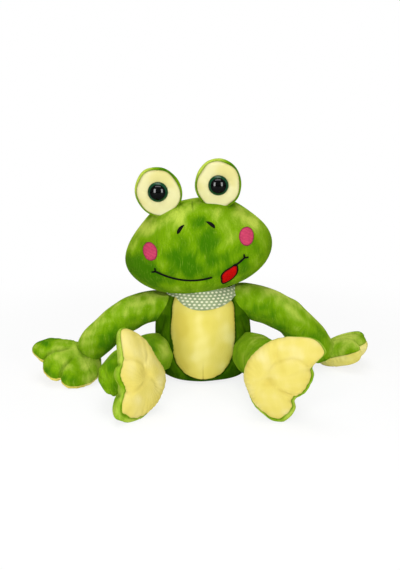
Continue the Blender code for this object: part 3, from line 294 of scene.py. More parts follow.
def around(count, offset=0.0):
    """Angles evenly spaced round a circle."""
    return [2.0 * math.pi * (step + offset) / count for step in range(count)]


def round_gain(sides):
    """How much wider a ring's cage is than the round form that its subdivision gives."""
    return 1.0 / (2.0 / 3.0 + math.cos(2.0 * math.pi / sides) / 3.0)


def bridge(bm, rings):
    """Joins each closed ring of points to the next."""
    count = len(rings[0])
    for lower, upper in zip(rings, rings[1:]):
        for step in range(count):
            after = (step + 1) % count
            bm.faces.new((lower[step], lower[after], upper[after], upper[step]))


def close_rings(bm, rings):
    bridge(bm, rings)
    bm.faces.new(list(reversed(rings[0])))
    bm.faces.new(rings[-1])


def ellipse(bm, centre, first, second, angles):
    """A ring of points from its centre and its half axes."""
    return [bm.verts.new(centre + first * math.cos(angle) + second * math.sin(angle)) for angle in angles]


def ring_cage(stations, sides):
    bm = bmesh.new()
    gain = round_gain(sides)
    close_rings(bm, [
        ellipse(bm, centre, first * (half_first * gain), second * (half_second * gain), around(sides, 0.5))
        for centre, first, second, half_first, half_second in stations])
    return bm


def body_cage(rings, height, half_width, half_depth, base):
    return ring_cage([
        (Vector((0.0, -half_depth * forward, base + height * up)), X, Y, half_width * wide, half_depth * deep)
        for up, wide, deep, forward in rings], 10)


def limb_cage(points, radii):
    stations = []
    last = len(points) - 1
    for index, (point, radius) in enumerate(zip(points, radii)):
        along = (points[min(index + 1, last)] - points[max(index - 1, 0)]).normalized()
        across = along.cross(Z).normalized()
        stations.append((point, across, across.cross(along), radius, radius))
    return ring_cage(stations, 8)


def cushion_cage(outline, seam, front, back):
    bm = bmesh.new()
    close_rings(bm, [[
        bm.verts.new((
            r * share * math.cos(math.radians(a)), r * share * math.sin(math.radians(a)),
            (front if swell > 0 else back) * swell))
        for a, r in outline] for share, swell in seam])
    return bm


def pod_outline():
    gain = round_gain(10)
    points = []
    for angle in range(0, 360, 36):
        wide = math.cos(math.radians(angle)) * POD_HALF_WIDTH
        high = math.sin(math.radians(angle)) * POD_HALF_HEIGHT
        points.append((math.degrees(math.atan2(high, wide)), math.hypot(wide, high) * gain))
    return points


def paw_outline(shares, reach, mirror):
    points = [(angle * mirror, share * reach) for angle, share in shares]
    return points if mirror > 0 else list(reversed(points))


def plane_turn(outward, along):
    up = Vector(outward).normalized()
    ahead = Vector(along)
    ahead = (ahead - up * ahead.dot(up)).normalized()
    return Matrix((ahead, up.cross(ahead), up)).transposed().to_4x4()


def arm_path(side):
    sign = SIDES[side]
    points = [Vector((-sign * ARM_ROOT, 0.0, 0.0))]
    for share in ARM_STATIONS:
        bow = 4.0 * share * (1.0 - share) * ARM_BOW[side]
        points.append(Vector((
            sign * ARM_REACH[side] * share, -ARM_FORWARD[side] * share * share,
            bow - ARM_DROP[side] * share)))
    return points


def leg_path(side):
    sign = SIDES[side]
    end = Vector((sign * ANKLE_SIDE[side], -ANKLE_FORWARD[side], ANKLE_RISE[side]))
    bow = Vector((sign * KNEE_BOW[side], 0.0, 0.0))
    points = [Vector((-sign * LEG_ROOT_SIDE, LEG_ROOT_BACK, 0.0))]
    return points + [end * share + bow * (4.0 * share * (1.0 - share)) for share in LEG_STATIONS]


def shoulder_place(side):
    return Vector((SIDES[side] * SHOULDER_SPREAD, 0.0, SHOULDER_HEIGHT[side]))


def wrist_place(side):
    return shoulder_place(side) + arm_path(side)[-2]


def hip_place(side):
    return Vector((SIDES[side] * HIP_SPREAD, -HIP_FORWARD, HIP_HEIGHT))


def ankle_place(side):
    return hip_place(side) + leg_path(side)[-2]


# Meshes

def link(item):
    bpy.context.scene.collection.objects.link(item)
    return item


def mesh_item(name, bm):
    """A smooth object from a bmesh, which is used up."""
    mesh = bpy.data.meshes.new(name)
    bm.to_mesh(mesh)
    bm.free()
    mesh.shade_smooth()
    return link(bpy.data.objects.new(name, mesh))


def refined(name, bm, levels=0):
    """A mesh object from a cage, with its subdivisions applied."""
    bmesh.ops.recalc_face_normals(bm, faces=bm.faces)
    if bm.calc_volume(signed=True) < 0.0:
        bmesh.ops.reverse_faces(bm, faces=bm.faces)
    item = mesh_item(name, bm)
    if levels:
        sub = item.modifiers.new("soften", "SUBSURF")
        sub.levels = levels
        sub.render_levels = levels
        bpy.context.view_layer.update()
        graph = bpy.context.evaluated_depsgraph_get()
        item.data = bpy.data.meshes.new_from_object(item.evaluated_get(graph))
        item.modifiers.clear()
        item.data.shade_smooth()
    return item


def read(item):
    """Points and normals of a mesh as arrays."""
    arrays = []
    for name in ("co", "normal"):
        values = np.empty(len(item.data.vertices) * 3)
        item.data.vertices.foreach_get(name, values)
        arrays.append(values.reshape(-1, 3))
    return arrays


def write(item, co, deep=None, lay_and_light=None):
    """Sets the points of a mesh, how deep each lies in a seam or fold, which is painted as shade, and how
    light its pile is, from brushing and from painted light.
    """
    mesh = item.data
    mesh.vertices.foreach_set("co", co.astype(np.float32).ravel())
    for name, values in (("deep", deep), ("lay_and_light", lay_and_light)):
        if values is not None:
            layer = mesh.attributes.get(name) or mesh.attributes.new(name, "FLOAT", "POINT")
            layer.data.foreach_set("value", np.clip(values, 0.0, 1.0).astype(np.float32))
    mesh.update()


def moved(item, matrix):
    item.data.transform(matrix)
    item.data.update()
    return item


def ramped(values):
    return np.clip(values, 0.0, 1.0)


def waves(co, size, seed):
    """Smooth lumps of about the given size, mostly between -1 and 1."""
    rng = np.random.default_rng(seed)
    total = np.zeros(len(co))
    for _ in range(WAVE_COUNT):
        direction = rng.normal(size=3)
        direction /= np.linalg.norm(direction)
        length = size * rng.uniform(0.75, 1.7)
        total += np.sin(co @ direction * (2.0 * math.pi / length) + rng.uniform(0.0, 2.0 * math.pi))
    return total / math.sqrt(WAVE_COUNT) / 1.2


def brushed(co, seed, base, gain, patches=(), size=34 * MM):
    """How light the pile lies: broad lumps, and patches of centre, radius and strength."""
    lay_and_light = base + gain * waves(co, size, seed) + 0.10 * waves(co, size * 0.4, seed + 1)
    for centre, radius, strength in patches:
        gap = np.linalg.norm(co - np.array(centre), axis=1)
        lay_and_light += strength * np.exp(-(gap / radius) ** 2)
    return lay_and_light


def near_line(co, line):
    """Each point's distance to a polyline, and the share along it of the nearest place."""
    best = np.full(len(co), 1e9)
    where = np.zeros(len(co))
    line = np.array(line, float)
    lengths = np.linalg.norm(np.diff(line, axis=0), axis=1)
    total = lengths.sum()
    run = 0.0
    for start, end, length in zip(line, line[1:], lengths):
        if length > 0:
            share = ramped((co - start) @ (end - start) / length ** 2)
            gap = np.linalg.norm(co - start - share[:, None] * (end - start), axis=1)
            closer = gap < best
            best = np.where(closer, gap, best)
            where = np.where(closer, (run + share * length) / total, where)
        run += length
    return best, where


def crease(co, line, width, fade=(0.0, 0.0)):
    """1 on a line, falling to 0 a few widths off, and fading out towards its ends."""
    gap, where = near_line(co, line)
    strength = np.exp(-(gap / width) ** 2)
    for share, reach in zip((where, 1.0 - where), fade):
        if reach:
            strength *= ramped(share / reach)
    return strength


class Skin:
    """A stuffed form while it is shaped: its points, their normals and how deep they lie in seams and folds,
    which is painted as shade.
    """

    def __init__(self, item):
        self.item = item
        self.co, self.normal = read(item)
        self.deep = np.zeros(len(self.co))

    def lift(self, amount):
        """Moves each point out along its normal by so many millimetres."""
        self.co += self.normal * (amount * MM)[:, None]

    def lump(self, size, seed, amount):
        self.lift(waves(self.co, size * MM, seed) * amount)

    # painted shade: how dark a point is drawn towards the seam colour
    def shade(self, strength):
        self.deep = np.maximum(self.deep, strength)

    # a fold pressed in, with painted shade in it
    def press(self, strength, depth, dark):
        self.lift(-depth * strength)
        self.shade(strength * dark)

    def fold(self, line, width, depth, dark, fade=(0.0, 0.0)):
        self.press(crease(self.co, line, width * MM, fade), depth, dark)

    def save(self, lay_and_light):
        write(self.item, self.co, self.deep, lay_and_light)
        return self.item


def tree_of(item):
    bm = bmesh.new()
    bm.from_mesh(item.data)
    tree = BVHTree.FromBMesh(bm)
    bm.free()
    return tree


def cast(tree, starts, direction):
    """Where rays from the given places first meet a form, without those that miss it."""
    hits = [tree.ray_cast(Vector(start), direction)[0] for start in starts]
    return [hit for hit in hits if hit is not None]


def split(item, name, keep_front, matrix, height, tip=0.0, toward=0.0):
    """One side of a stuffed form, cut at its seam plane and closed there."""
    bm = bmesh.new()
    bm.from_mesh(item.data)
    bmesh.ops.bisect_plane(
        bm, geom=bm.verts[:] + bm.edges[:] + bm.faces[:],
        plane_co=(0, 0, height + (-SEAM_LAP if keep_front else SEAM_LAP)),
        plane_no=(-tip * math.cos(toward), -tip * math.sin(toward), 1.0),
        clear_inner=keep_front, clear_outer=not keep_front)
    bmesh.ops.edgeloop_fill(bm, edges=[edge for edge in bm.edges if edge.is_boundary])
    bm.transform(matrix)
    return mesh_item(name, bm)


def slab(name, rows, columns, place):
    """A closed thin piece over a grid. The place of a row and column share is a point, its normal, and how
    far out the piece's outer and inner faces lie."""
    grid = [[place(row / rows, column / columns) for column in range(columns + 1)] for row in range(rows + 1)]
    bm = bmesh.new()
    outer = [[bm.verts.new(point + normal * high) for point, normal, high, _ in line] for line in grid]
    inner = [[bm.verts.new(point + normal * low) for point, normal, _, low in line] for line in grid]
    bridge(bm, [over + under[::-1] for over, under in zip(outer, inner)])
    for over, under in ((outer[0], inner[0]), (outer[-1], inner[-1])):
        for c in range(columns):
            bm.faces.new((over[c], over[c + 1], under[c + 1], under[c]))
    return refined(name, bm)


def dome(name, bm, top, rings):
    """A closed form from its top point and its rings, the last of them filled."""
    for first, second in zip(rings[0], rings[0][1:] + rings[0][:1]):
        bm.faces.new((top, first, second))
    bridge(bm, rings)
    bm.faces.new(rings[-1])
    return refined(name, bm)


def tube(name, centres, ups, half_width, half_height, closed=False, sides=10, swell=None):
    """A flattened tube along points, its flat side square to the up directions."""
    bm = bmesh.new()
    count = len(centres)
    rings = []
    for index, (centre, up) in enumerate(zip(centres, ups)):
        before = centres[index - 1] if closed or index else centres[0]
        after = centres[(index + 1) % count] if closed or index < count - 1 else centres[-1]
        across = (after - before).normalized().cross(up).normalized()
        size = 1.0 if closed else min(1.0, 0.45 + 0.3 * min(index, count - 1 - index))
        if swell:
            size = swell(index / (count - 1))
        wide, high = across * (half_width * size), up * (half_height * size)
        rings.append(ellipse(bm, centre, wide, high, around(sides)))
    if closed:
        bridge(bm, rings + rings[:1])
    else:
        close_rings(bm, rings)
    return refined(name, bm)


def smooth_path(points, count, closed=False):
    """Evenly spaced points on a smooth curve through the given ones."""
    points = np.array(points, float)
    padded = np.vstack((points[-1:], points, points[:2])) if closed else np.vstack((
        2 * points[:1] - points[1:2], points, 2 * points[-1:] - points[-2:-1]))
    dense = []
    for i in range(1, len(padded) - 2):
        p0, p1, p2, p3 = padded[i - 1:i + 3]
        for t in np.linspace(0.0, 1.0, 24, endpoint=False):
            dense.append(0.5 * (2 * p1 + (p2 - p0) * t + (2 * p0 - 5 * p1 + 4 * p2 - p3) * t * t
                                + (3 * p1 - p0 - 3 * p2 + p3) * t ** 3))
    dense = np.array(dense + [padded[-2]])
    run = np.concatenate(([0.0], np.cumsum(np.linalg.norm(np.diff(dense, axis=0), axis=1))))
    at = np.linspace(0.0, run[-1], count, endpoint=not closed)
    return np.stack([np.interp(at, run, dense[:, k]) for k in range(dense.shape[1])], axis=1)


# Materials

def rgb(text):
    """A linear colour from a written one."""
    values = []
    for k in (1, 3, 5):
        v = int(text[k:k + 2], 16) / 255.0
        values.append(v / 12.92 if v <= 0.04045 else ((v + 0.055) / 1.055) ** 2.4)
    return (*values, 1.0)


class Nodes:
    """A short way to lay out one material's nodes. Colours may be written ones."""

    def __init__(self, name):
        self.material = bpy.data.materials.new(name)
        self.material.use_nodes = True
        self.tree = self.material.node_tree
        self.shader = self.tree.nodes["Principled BSDF"]
        self.place = self.add("ShaderNodeTexCoord").outputs["Object"]

    def add(self, kind, inputs=None, **settings):
        node = self.tree.nodes.new(kind)
        for key, value in settings.items():
            setattr(node, key, value)
        for key, value in (inputs or {}).items():
            self.set(node.inputs[key], value)
        return node

    def set(self, socket, value):
        if isinstance(value, bpy.types.NodeSocket):
            self.tree.links.new(value, socket)
        else:
            socket.default_value = rgb(value) if isinstance(value, str) else value

    def noise(self, size, detail=2.0, rough=0.5, vector=None):
        node = self.add("ShaderNodeTexNoise", {
            "Vector": vector or self.place, "Scale": 1.0 / size, "Detail": detail, "Roughness": rough})
        return node.outputs["Fac"]

    def ramp(self, value, low, high, start=0.0, end=1.0):
        return self.add("ShaderNodeMapRange", {
            "Value": value, "From Min": low, "From Max": high, "To Min": start, "To Max": end},
            interpolation_type="SMOOTHSTEP").outputs["Result"]

    def mix(self, share, first, second):
        return self.add("ShaderNodeMix", {0: share, 6: first, 7: second}, data_type="RGBA").outputs[2]

    def maths(self, operation, first, second=0.0):
        return self.add("ShaderNodeMath", {0: first, 1: second}, operation=operation).outputs[0]

    def length(self, first, second):
        squares = [self.maths("MULTIPLY", value, value) for value in (first, second)]
        return self.maths("SQRT", self.maths("ADD", *squares))

    def attribute(self, name):
        return self.add("ShaderNodeAttribute", attribute_name=name).outputs["Fac"]

    def bump(self, height, distance, strength=1.0, **under):
        return self.add("ShaderNodeBump", {
            "Height": height, "Distance": distance, "Strength": strength, **under}).outputs["Normal"]

    def finish(self, **inputs):
        for key, value in inputs.items():
            self.set(self.shader.inputs[key.replace("_", " ")], value)
        return self.material


def plush(name, dark, mid, light, seam, nap=1.2 * MM, rise=0.7 * MM, contrast=1.0, turn=0.6, sheen=0.22):
    """Pile that lies in brushed patches, with painted light on top of the brushing, streaks, a fine nap and
    painted shade in seams and folds.
    """
    n = Nodes(name)
    warp = n.add("ShaderNodeTexNoise", {"Vector": n.place, "Scale": 1.0 / (26 * MM), "Detail": 1.0})
    bent = n.add("ShaderNodeVectorMath", {0: warp.outputs["Color"], "Scale": 18 * MM}, operation="SCALE")
    drawn = n.add("ShaderNodeVectorMath", {0: n.place, 1: bent.outputs["Vector"]}, operation="ADD")
    mapped = n.add("ShaderNodeMapping", {
        "Vector": drawn.outputs["Vector"], "Rotation": (0.0, turn, 0.0), "Scale": (1.0, 0.5, 0.13)})
    hair = mapped.outputs["Vector"]
    streak = n.noise(1.5 * MM, 3.0, 0.6, hair)
    tuft = n.maths("SUBTRACT", n.noise(5.0 * MM, 2.0, 0.55, hair), 0.5)
    fine = n.noise(nap, 3.0, 0.65)
    lay_and_light = n.maths("ADD", n.attribute("lay_and_light"), n.maths("MULTIPLY", tuft, 0.36 * contrast))
    both = n.mix(n.ramp(lay_and_light, 0.46, 0.94), n.mix(n.ramp(lay_and_light, 0.10, 0.52), dark, mid), light)
    both = n.mix(n.ramp(streak, 0.52, 0.76, 0.0, 0.20 * contrast), both, light)
    both = n.mix(n.ramp(streak, 0.26, 0.47, 0.24 * contrast, 0.0), both, dark)
    both = n.mix(n.ramp(fine, 0.30, 0.50, 0.30 * contrast, 0.0), both, dark)
    # painted shade: seams and folds are drawn towards the dark seam colour
    both = n.mix(n.ramp(n.attribute("deep"), 0.0, 1.0, 0.0, 0.88), both, seam)
    return n.finish(
        Base_Color=both, Roughness=1.0, Normal=n.bump(streak, rise, 0.7, Normal=n.bump(fine, rise * 0.6)),
        Sheen_Weight=sheen, Sheen_Roughness=0.5, Sheen_Tint=light, Specular_IOR_Level=0.0)


def thread(name, colour, dark, turn=0.0):
    """Satin stitches side by side."""
    n = Nodes(name)
    mapped = n.add("ShaderNodeMapping", {"Vector": n.place, "Rotation": (0.0, turn, 0.0)})
    line = n.add("ShaderNodeTexWave", {
        "Vector": mapped.outputs["Vector"], "Scale": 1.0 / THREAD_SIZE, "Distortion": 3.0,
        "Detail": 2.0, "Detail Scale": 2.0}, bands_direction="X").outputs["Fac"]
    # painted shade: darker between the stitches and at a pad's rim
    both = n.mix(n.ramp(line, 0.05, 0.6, 0.16, 0.0), colour, dark)
    both = n.mix(n.ramp(n.attribute("deep"), 0.0, 1.0, 0.0, 0.9), both, dark)
    both = n.mix(n.ramp(n.noise(2.5 * MM, 3.0, 0.6), 0.4, 0.7, 0.0, 0.30), both, dark)
    return n.finish(
        Base_Color=both, Roughness=0.6, Normal=n.bump(line, 0.12 * MM), Sheen_Weight=0.0,
        Specular_IOR_Level=0.06)


def dotted_cloth():
    """Sage cotton with cream dots, laid out round the neck and down the flap."""
    n = Nodes("sage_dotted_cotton")
    row = n.attribute("cloth_v")
    column = n.attribute("cloth_u")
    shift = n.maths("MULTIPLY", n.maths("FLOORED_MODULO", n.maths("FLOOR", row), 2.0), 0.5)
    across = n.maths("SUBTRACT", n.maths("FRACT", n.maths("ADD", column, shift)), 0.5)
    down = n.maths("SUBTRACT", n.maths("FRACT", row), 0.5)
    weave = n.noise(0.5 * MM, 2.0, 0.7)
    base = n.mix(n.ramp(n.noise(14 * MM), 0.3, 0.7), "#8c9b74", "#a0ad86")
    base = n.mix(n.ramp(n.length(across, down), 0.24, 0.33, 1.0, 0.0), base, "#ecebcf")
    base = n.mix(n.ramp(weave, 0.3, 0.6, 0.15, 0.0), base, "#77866a")
    # painted shade in the knot's folds
    base = n.mix(n.ramp(n.attribute("deep"), 0.0, 1.0, 0.0, 0.6), base, "#5e6c50")
    return n.finish(
        Base_Color=base, Roughness=0.95, Normal=n.bump(weave, 0.15 * MM), Sheen_Weight=0.05,
        Specular_IOR_Level=0.1)


def eye_material():
    """A dark green iris round a black pupil under clear gloss; the eye's own axis is its local Z."""
    n = Nodes("safety_eye_gloss")
    parts = n.add("ShaderNodeSeparateXYZ", {"Vector": n.place}).outputs
    iris = n.mix(n.noise(1.6 * MM), "#063018", "#11462a")
    colour = n.mix(n.ramp(n.length(parts[0], parts[1]), 9.0 * MM, 9.6 * MM, 1.0, 0.0), iris, "#010101")
    return n.finish(
        Base_Color=colour, Roughness=0.3, Coat_Weight=0.6, Coat_Roughness=0.04, Specular_IOR_Level=0.0,
        Normal=n.bump(n.noise(9 * MM, 1.0), 0.05 * MM, 0.3))


def plastic(name, colour, other):
    n = Nodes(name)
    shade = n.mix(n.noise(4 * MM, 3.0), colour, other)
    return n.finish(Base_Color=shade, Roughness=0.4, Normal=n.bump(n.noise(0.8 * MM), 0.05 * MM))


# each with the slot of the pieces that wear it
SHORT = {"nap": 0.8 * MM, "sheen": 0.05}
GREEN = plush("green_plush_skin", "#386c03", "#6b9507", "#b2c549", "#234304"), "green_plush"
GREEN_LIMB = plush("green_plush_limb", "#3c7304", "#719b0b", "#b4c650", "#234304", turn=1.3), "green_plush"
# painted shade: the torso's green is a darker copy of the head's green, for the shade under the head
GREEN_BODY_SHADED = plush("green_plush_body_shaded", "#284f02", "#466d04", "#819a2c", "#1a3402"), "green_plush"
YELLOW = plush(
    "yellow_plush_skin", "#d6c456", "#dfd066", "#e9dd88", "#9a862e", rise=0.30 * MM, contrast=0.28,
    **SHORT), "yellow_plush"
SOLE = plush(
    "yellow_plush_sole", "#c4b250", "#cdbf63", "#d6cb8b", "#a8923c", rise=0.30 * MM, contrast=0.35,
    **SHORT), "yellow_plush"
EYE_CLOTH = plush(
    "yellow_plush_eye", "#cdc682", "#d4cf9a", "#dedab2", "#8f8a48", rise=0.25 * MM, contrast=0.30,
    **SHORT), "yellow_plush"
PALM = plush(
    "palm_plush_skin", "#cdbf52", "#dfd56e", "#eee596", "#a49a3e", rise=0.30 * MM, contrast=0.45,
    **SHORT), "yellow_plush"
PINK = thread("pink_satin", "#bd3f5f", "#6d1832", turn=1.2), "pink_thread"
RED = thread("red_satin", "#b60403", "#7c0200", turn=0.7), "red_thread"
BLACK = thread("black_satin", "#0c0c0a", "#030303"), "black_thread"
SAGE = dotted_cloth(), "sage_cotton"
EYE = eye_material(), "eye_plastic"
WASHER = plastic("washer_white", "#e4e4df", "#d5d5cf")


def dress(item, cloth, body=None, nodes=()):
    """Gives a piece its material and its body, and hides the nodes that it stands for."""
    material, slot = cloth
    item.data.materials.clear()
    item.data.materials.append(material)
    if nodes:
        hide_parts(*nodes)
    if body:
        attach(item, body)
    return item


# Torso and belly

def belly_half(height):
    """The belly panel's half width at a height."""
    shares = np.array(BELLY_OUTLINE)
    return np.interp((height - BELLY_BOTTOM) / BELLY_RISE, shares[:, 1], shares[:, 0]) * BELLY_HALF_WIDTH


def make_torso():
    cage = body_cage(TORSO_RINGS, TORSO_HEIGHT, TORSO_HALF_WIDTH, TORSO_HALF_DEPTH, -REST_DEPTH)
    skin = Skin(refined("torso_skin", cage, 5))
    co, normal = skin.co, skin.normal
    smooth = tree_of(skin.item)
    skin.lump(42, 3, 0.9)
    # the belly panel's seam, pressed in with painted shade
    curve = smooth_path([(s * BELLY_HALF_WIDTH, BELLY_BOTTOM + u * BELLY_RISE) for s, u in BELLY_OUTLINE], 60)
    outline = [(-x, -FAR, z) for x, z in reversed(curve)] + [(x, -FAR, z) for x, z in curve[1:]]
    skin.fold(cast(smooth, outline, Y), 2.2, 1.3, 1.0)
    # seams at the sides and the back, and folds over the hips, each with painted shade
    for sign in (-1.0, 1.0):
        side = [(sign * FAR, 4 * MM, z * MM) for z in range(4, 100, 8)]
        skin.fold(cast(smooth, side, X * -sign), 1.6, 0.9, 0.5)
        for reach, top, depth in HIP_FOLDS:
            line = [(sign * (reach + k) * MM, -FAR, (top - 3.2 * k) * MM) for k in range(0, 9, 2)]
            line = cast(smooth, line, Y)
            if len(line) > 1:
                skin.fold(line, 2.6, depth, 0.45, (0.3, 0.3))
    skin.fold(cast(smooth, [(0.0, FAR, z * MM) for z in range(4, 112, 8)], -Y), 1.6, 1.0, 0.6)
    # under the belly panel the cover lies lower
    inside = ramped((belly_half(co[:, 2]) - np.abs(co[:, 0])) / (4 * MM))
    inside *= ramped((co[:, 2] - BELLY_BOTTOM) / (6 * MM)) * (normal[:, 1] < -0.05)
    skin.lift(-3.0 * inside)
    co[:, 2] = np.maximum(co[:, 2], 0.0)
    # painted light: faces that look upward are drawn lighter
    item = skin.save(brushed(co, 71, base=0.30, gain=0.16) + 0.12 * (normal[:, 2] > 0.3))
    return dress(item, GREEN_BODY_SHADED, "torso", ("torso_cover", "torso_stuffing")), smooth


def make_belly(smooth):
    def place(up, across):
        height = BELLY_BOTTOM + BELLY_RISE * 0.985 * (1.0 - math.cos(up * math.pi / 2.0))
        half = max(float(belly_half(height)), 0.6 * MM)
        u = math.sin((across - 0.5) * math.pi)
        point, face = smooth.ray_cast(Vector((u * half, -FAR, height)), Y)[:2]
        if point is None:
            point, face = Vector((u * half, -0.03, height)), -Y
        edge = min(half * (1.0 - abs(u)), (height - BELLY_BOTTOM) * 1.6) / MM
        puff = 1.5 * (1.0 - math.exp(-max(edge, 0.0) / 3.5)) - 0.7
        return point, face, puff * MM, -2.2 * MM

    skin = Skin(slab("belly_skin", 72, 48, place))
    co = skin.co
    skin.press(np.exp(-(np.abs(co[:, 0]) / MM) ** 2) * ramped((34 * MM - co[:, 2]) / (18 * MM)), 0.8, 0.5)
    out = np.abs(co[:, 0]) / np.maximum(belly_half(co[:, 2]), 1e-4)
    rim = np.maximum(ramped((out - 0.90) / 0.1), ramped((BELLY_BOTTOM + 4 * MM - co[:, 2]) / (4 * MM)))
    gather = np.sin(co[:, 2] * (2 * math.pi / (5.5 * MM)) + co[:, 0] * 300.0) * ramped((out - 0.6) / 0.4)
    skin.lift(gather * 0.18)
    skin.lump(22, 8, 0.35)
    # painted shade along the panel's edge and bottom, where it meets the seam
    skin.shade(rim * 0.6)
    return dress(skin.save(brushed(co, 73, base=0.5, gain=0.3)), YELLOW, "torso", ("belly_panel",))


# Head and face

def make_head():
    cage = body_cage(HEAD_RINGS, HEAD_HEIGHT, HEAD_HALF_WIDTH, HEAD_HALF_DEPTH, HEAD_CLEAR)
    skin = Skin(refined("head_skin", cage, 5))
    co = skin.co
    smooth = tree_of(skin.item)
    low = ramped((HEAD_CLEAR + 0.45 * HEAD_HEIGHT - co[:, 2]) / (0.25 * HEAD_HEIGHT))
    skin.lift(waves(co, 55 * MM, 11) * (1.0 - low))
    # the dart, and the hollow along the mouth, with painted shade in them
    for points, count, width, depth, dark, fade in (
            (DART, 12, 1.2, 1.1, 0.55, (0.25, 0.0)),
            ([mouth_point(s) for s in MOUTH_SHARES], 50, 3.2, 0.9, 0.35, (0.0, 0.0)),
            ([mouth_point(s) for s in (0.5, 0.8, 1.0)], 20, 3.2, 0.9, 0.35, (0.0, 0.0))):
        line = [(x, -FAR, z) for x, z in smooth_path(points, count)]
        skin.fold(cast(smooth, line, Y), width, depth, dark, fade)
    # the seam down the middle of the back, with painted shade in it
    skin.fold(cast(smooth, [(0.0, FAR, z * MM) for z in range(12, 116, 8)], -Y), 1.5, 1.0, 0.6)
    height = (co[:, 2] - HEAD_CLEAR) / HEAD_HEIGHT
    # painted light: the upper half of the face is drawn lighter; the patches add painted highlights and
    # painted shade, such as under the eye pods
    lay_and_light = brushed(co, 81, size=40 * MM, base=0.38, gain=0.10) + 0.45 * np.clip(height - 0.5, -0.1, 0.5)
    front = ramped(0.5 - co[:, 1] / (36 * MM))
    for x, z, radius, strength in HEAD_PATCHES:
        gap = np.hypot(co[:, 0] - x * MM, co[:, 2] - z * MM)
        lay_and_light += strength * np.exp(-(gap / (radius * MM)) ** 2) * front * front * (3.0 - 2.0 * front)
    item = moved(skin.save(lay_and_light), HEAD_FRAME)
    tree = tree_of(item)
    return dress(item, GREEN, "head", ("head_cover", "head_stuffing")), tree


def mouth_point(share):
    return (MOUTH_HALF_WIDTH * share, MOUTH_CORNER_HEIGHT - MOUTH_SAG * (1.0 - share * share))


def face_hit(tree, x, z):
    """A point of the face and its direction out, from a place in the head's own frame."""
    return tree.ray_cast(HEAD_FRAME @ Vector((x, -FAR, z)), HEAD_FRAME.to_3x3() @ Y)[:2]


def stitched_line(name, tree, points, count, width, closed=False, height=0.75 * MM, rise=0.35 * MM, **form):
    """Raised stitches along a line on the face."""
    hits = [face_hit(tree, x, z) for x, z in smooth_path(points, count, closed)]
    centres = [point + normal * rise for point, normal in hits]
    return tube(name, centres, [normal for _, normal in hits], width / 2.0, height, closed, **form)


def stitched_pad(name, tree, centre, reach_at, spokes=56):
    """A low embroidered pad on the face, from its outline's reach by direction."""
    bm = bmesh.new()
    point, normal = face_hit(tree, *centre)
    top = bm.verts.new(point + normal * PAD_HEIGHT)
    loops = []
    deep = [0.0]
    # painted shade: the outer rings and the skirt are drawn darker, at the pad's rim where the stitches turn
    # into the face
    for step in range(1, 12):
        # the last ring is a skirt that goes into the face
        share, lift, dark = 1.01, -MM, 1.0
        if step <= 10:
            share = (step / 10) ** 0.8
            lift = PAD_HEIGHT * (1.0 - max(0.0, share - 0.72) ** 2 / 0.28 ** 2 * 0.75)
            dark = max(0.0, share - 0.8) / 0.2
        deep += [dark] * spokes
        loop = []
        for turn in around(spokes):
            reach = reach_at(turn) * share
            x, z = centre[0] + reach * math.cos(turn), centre[1] + reach * math.sin(turn)
            point, normal = face_hit(tree, x, z)
            loop.append(bm.verts.new(point + normal * lift))
        loops.append(loop)
    item = dome(name, bm, top, loops)
    write(item, read(item)[0], np.array(deep))
    return item


def nostril_swell(share):
    """A short fat stroke, thickest below its middle."""
    return math.sin(math.pi * min(max(share, 0.02), 0.98)) ** 0.55 * (1.15 - 0.5 * share)


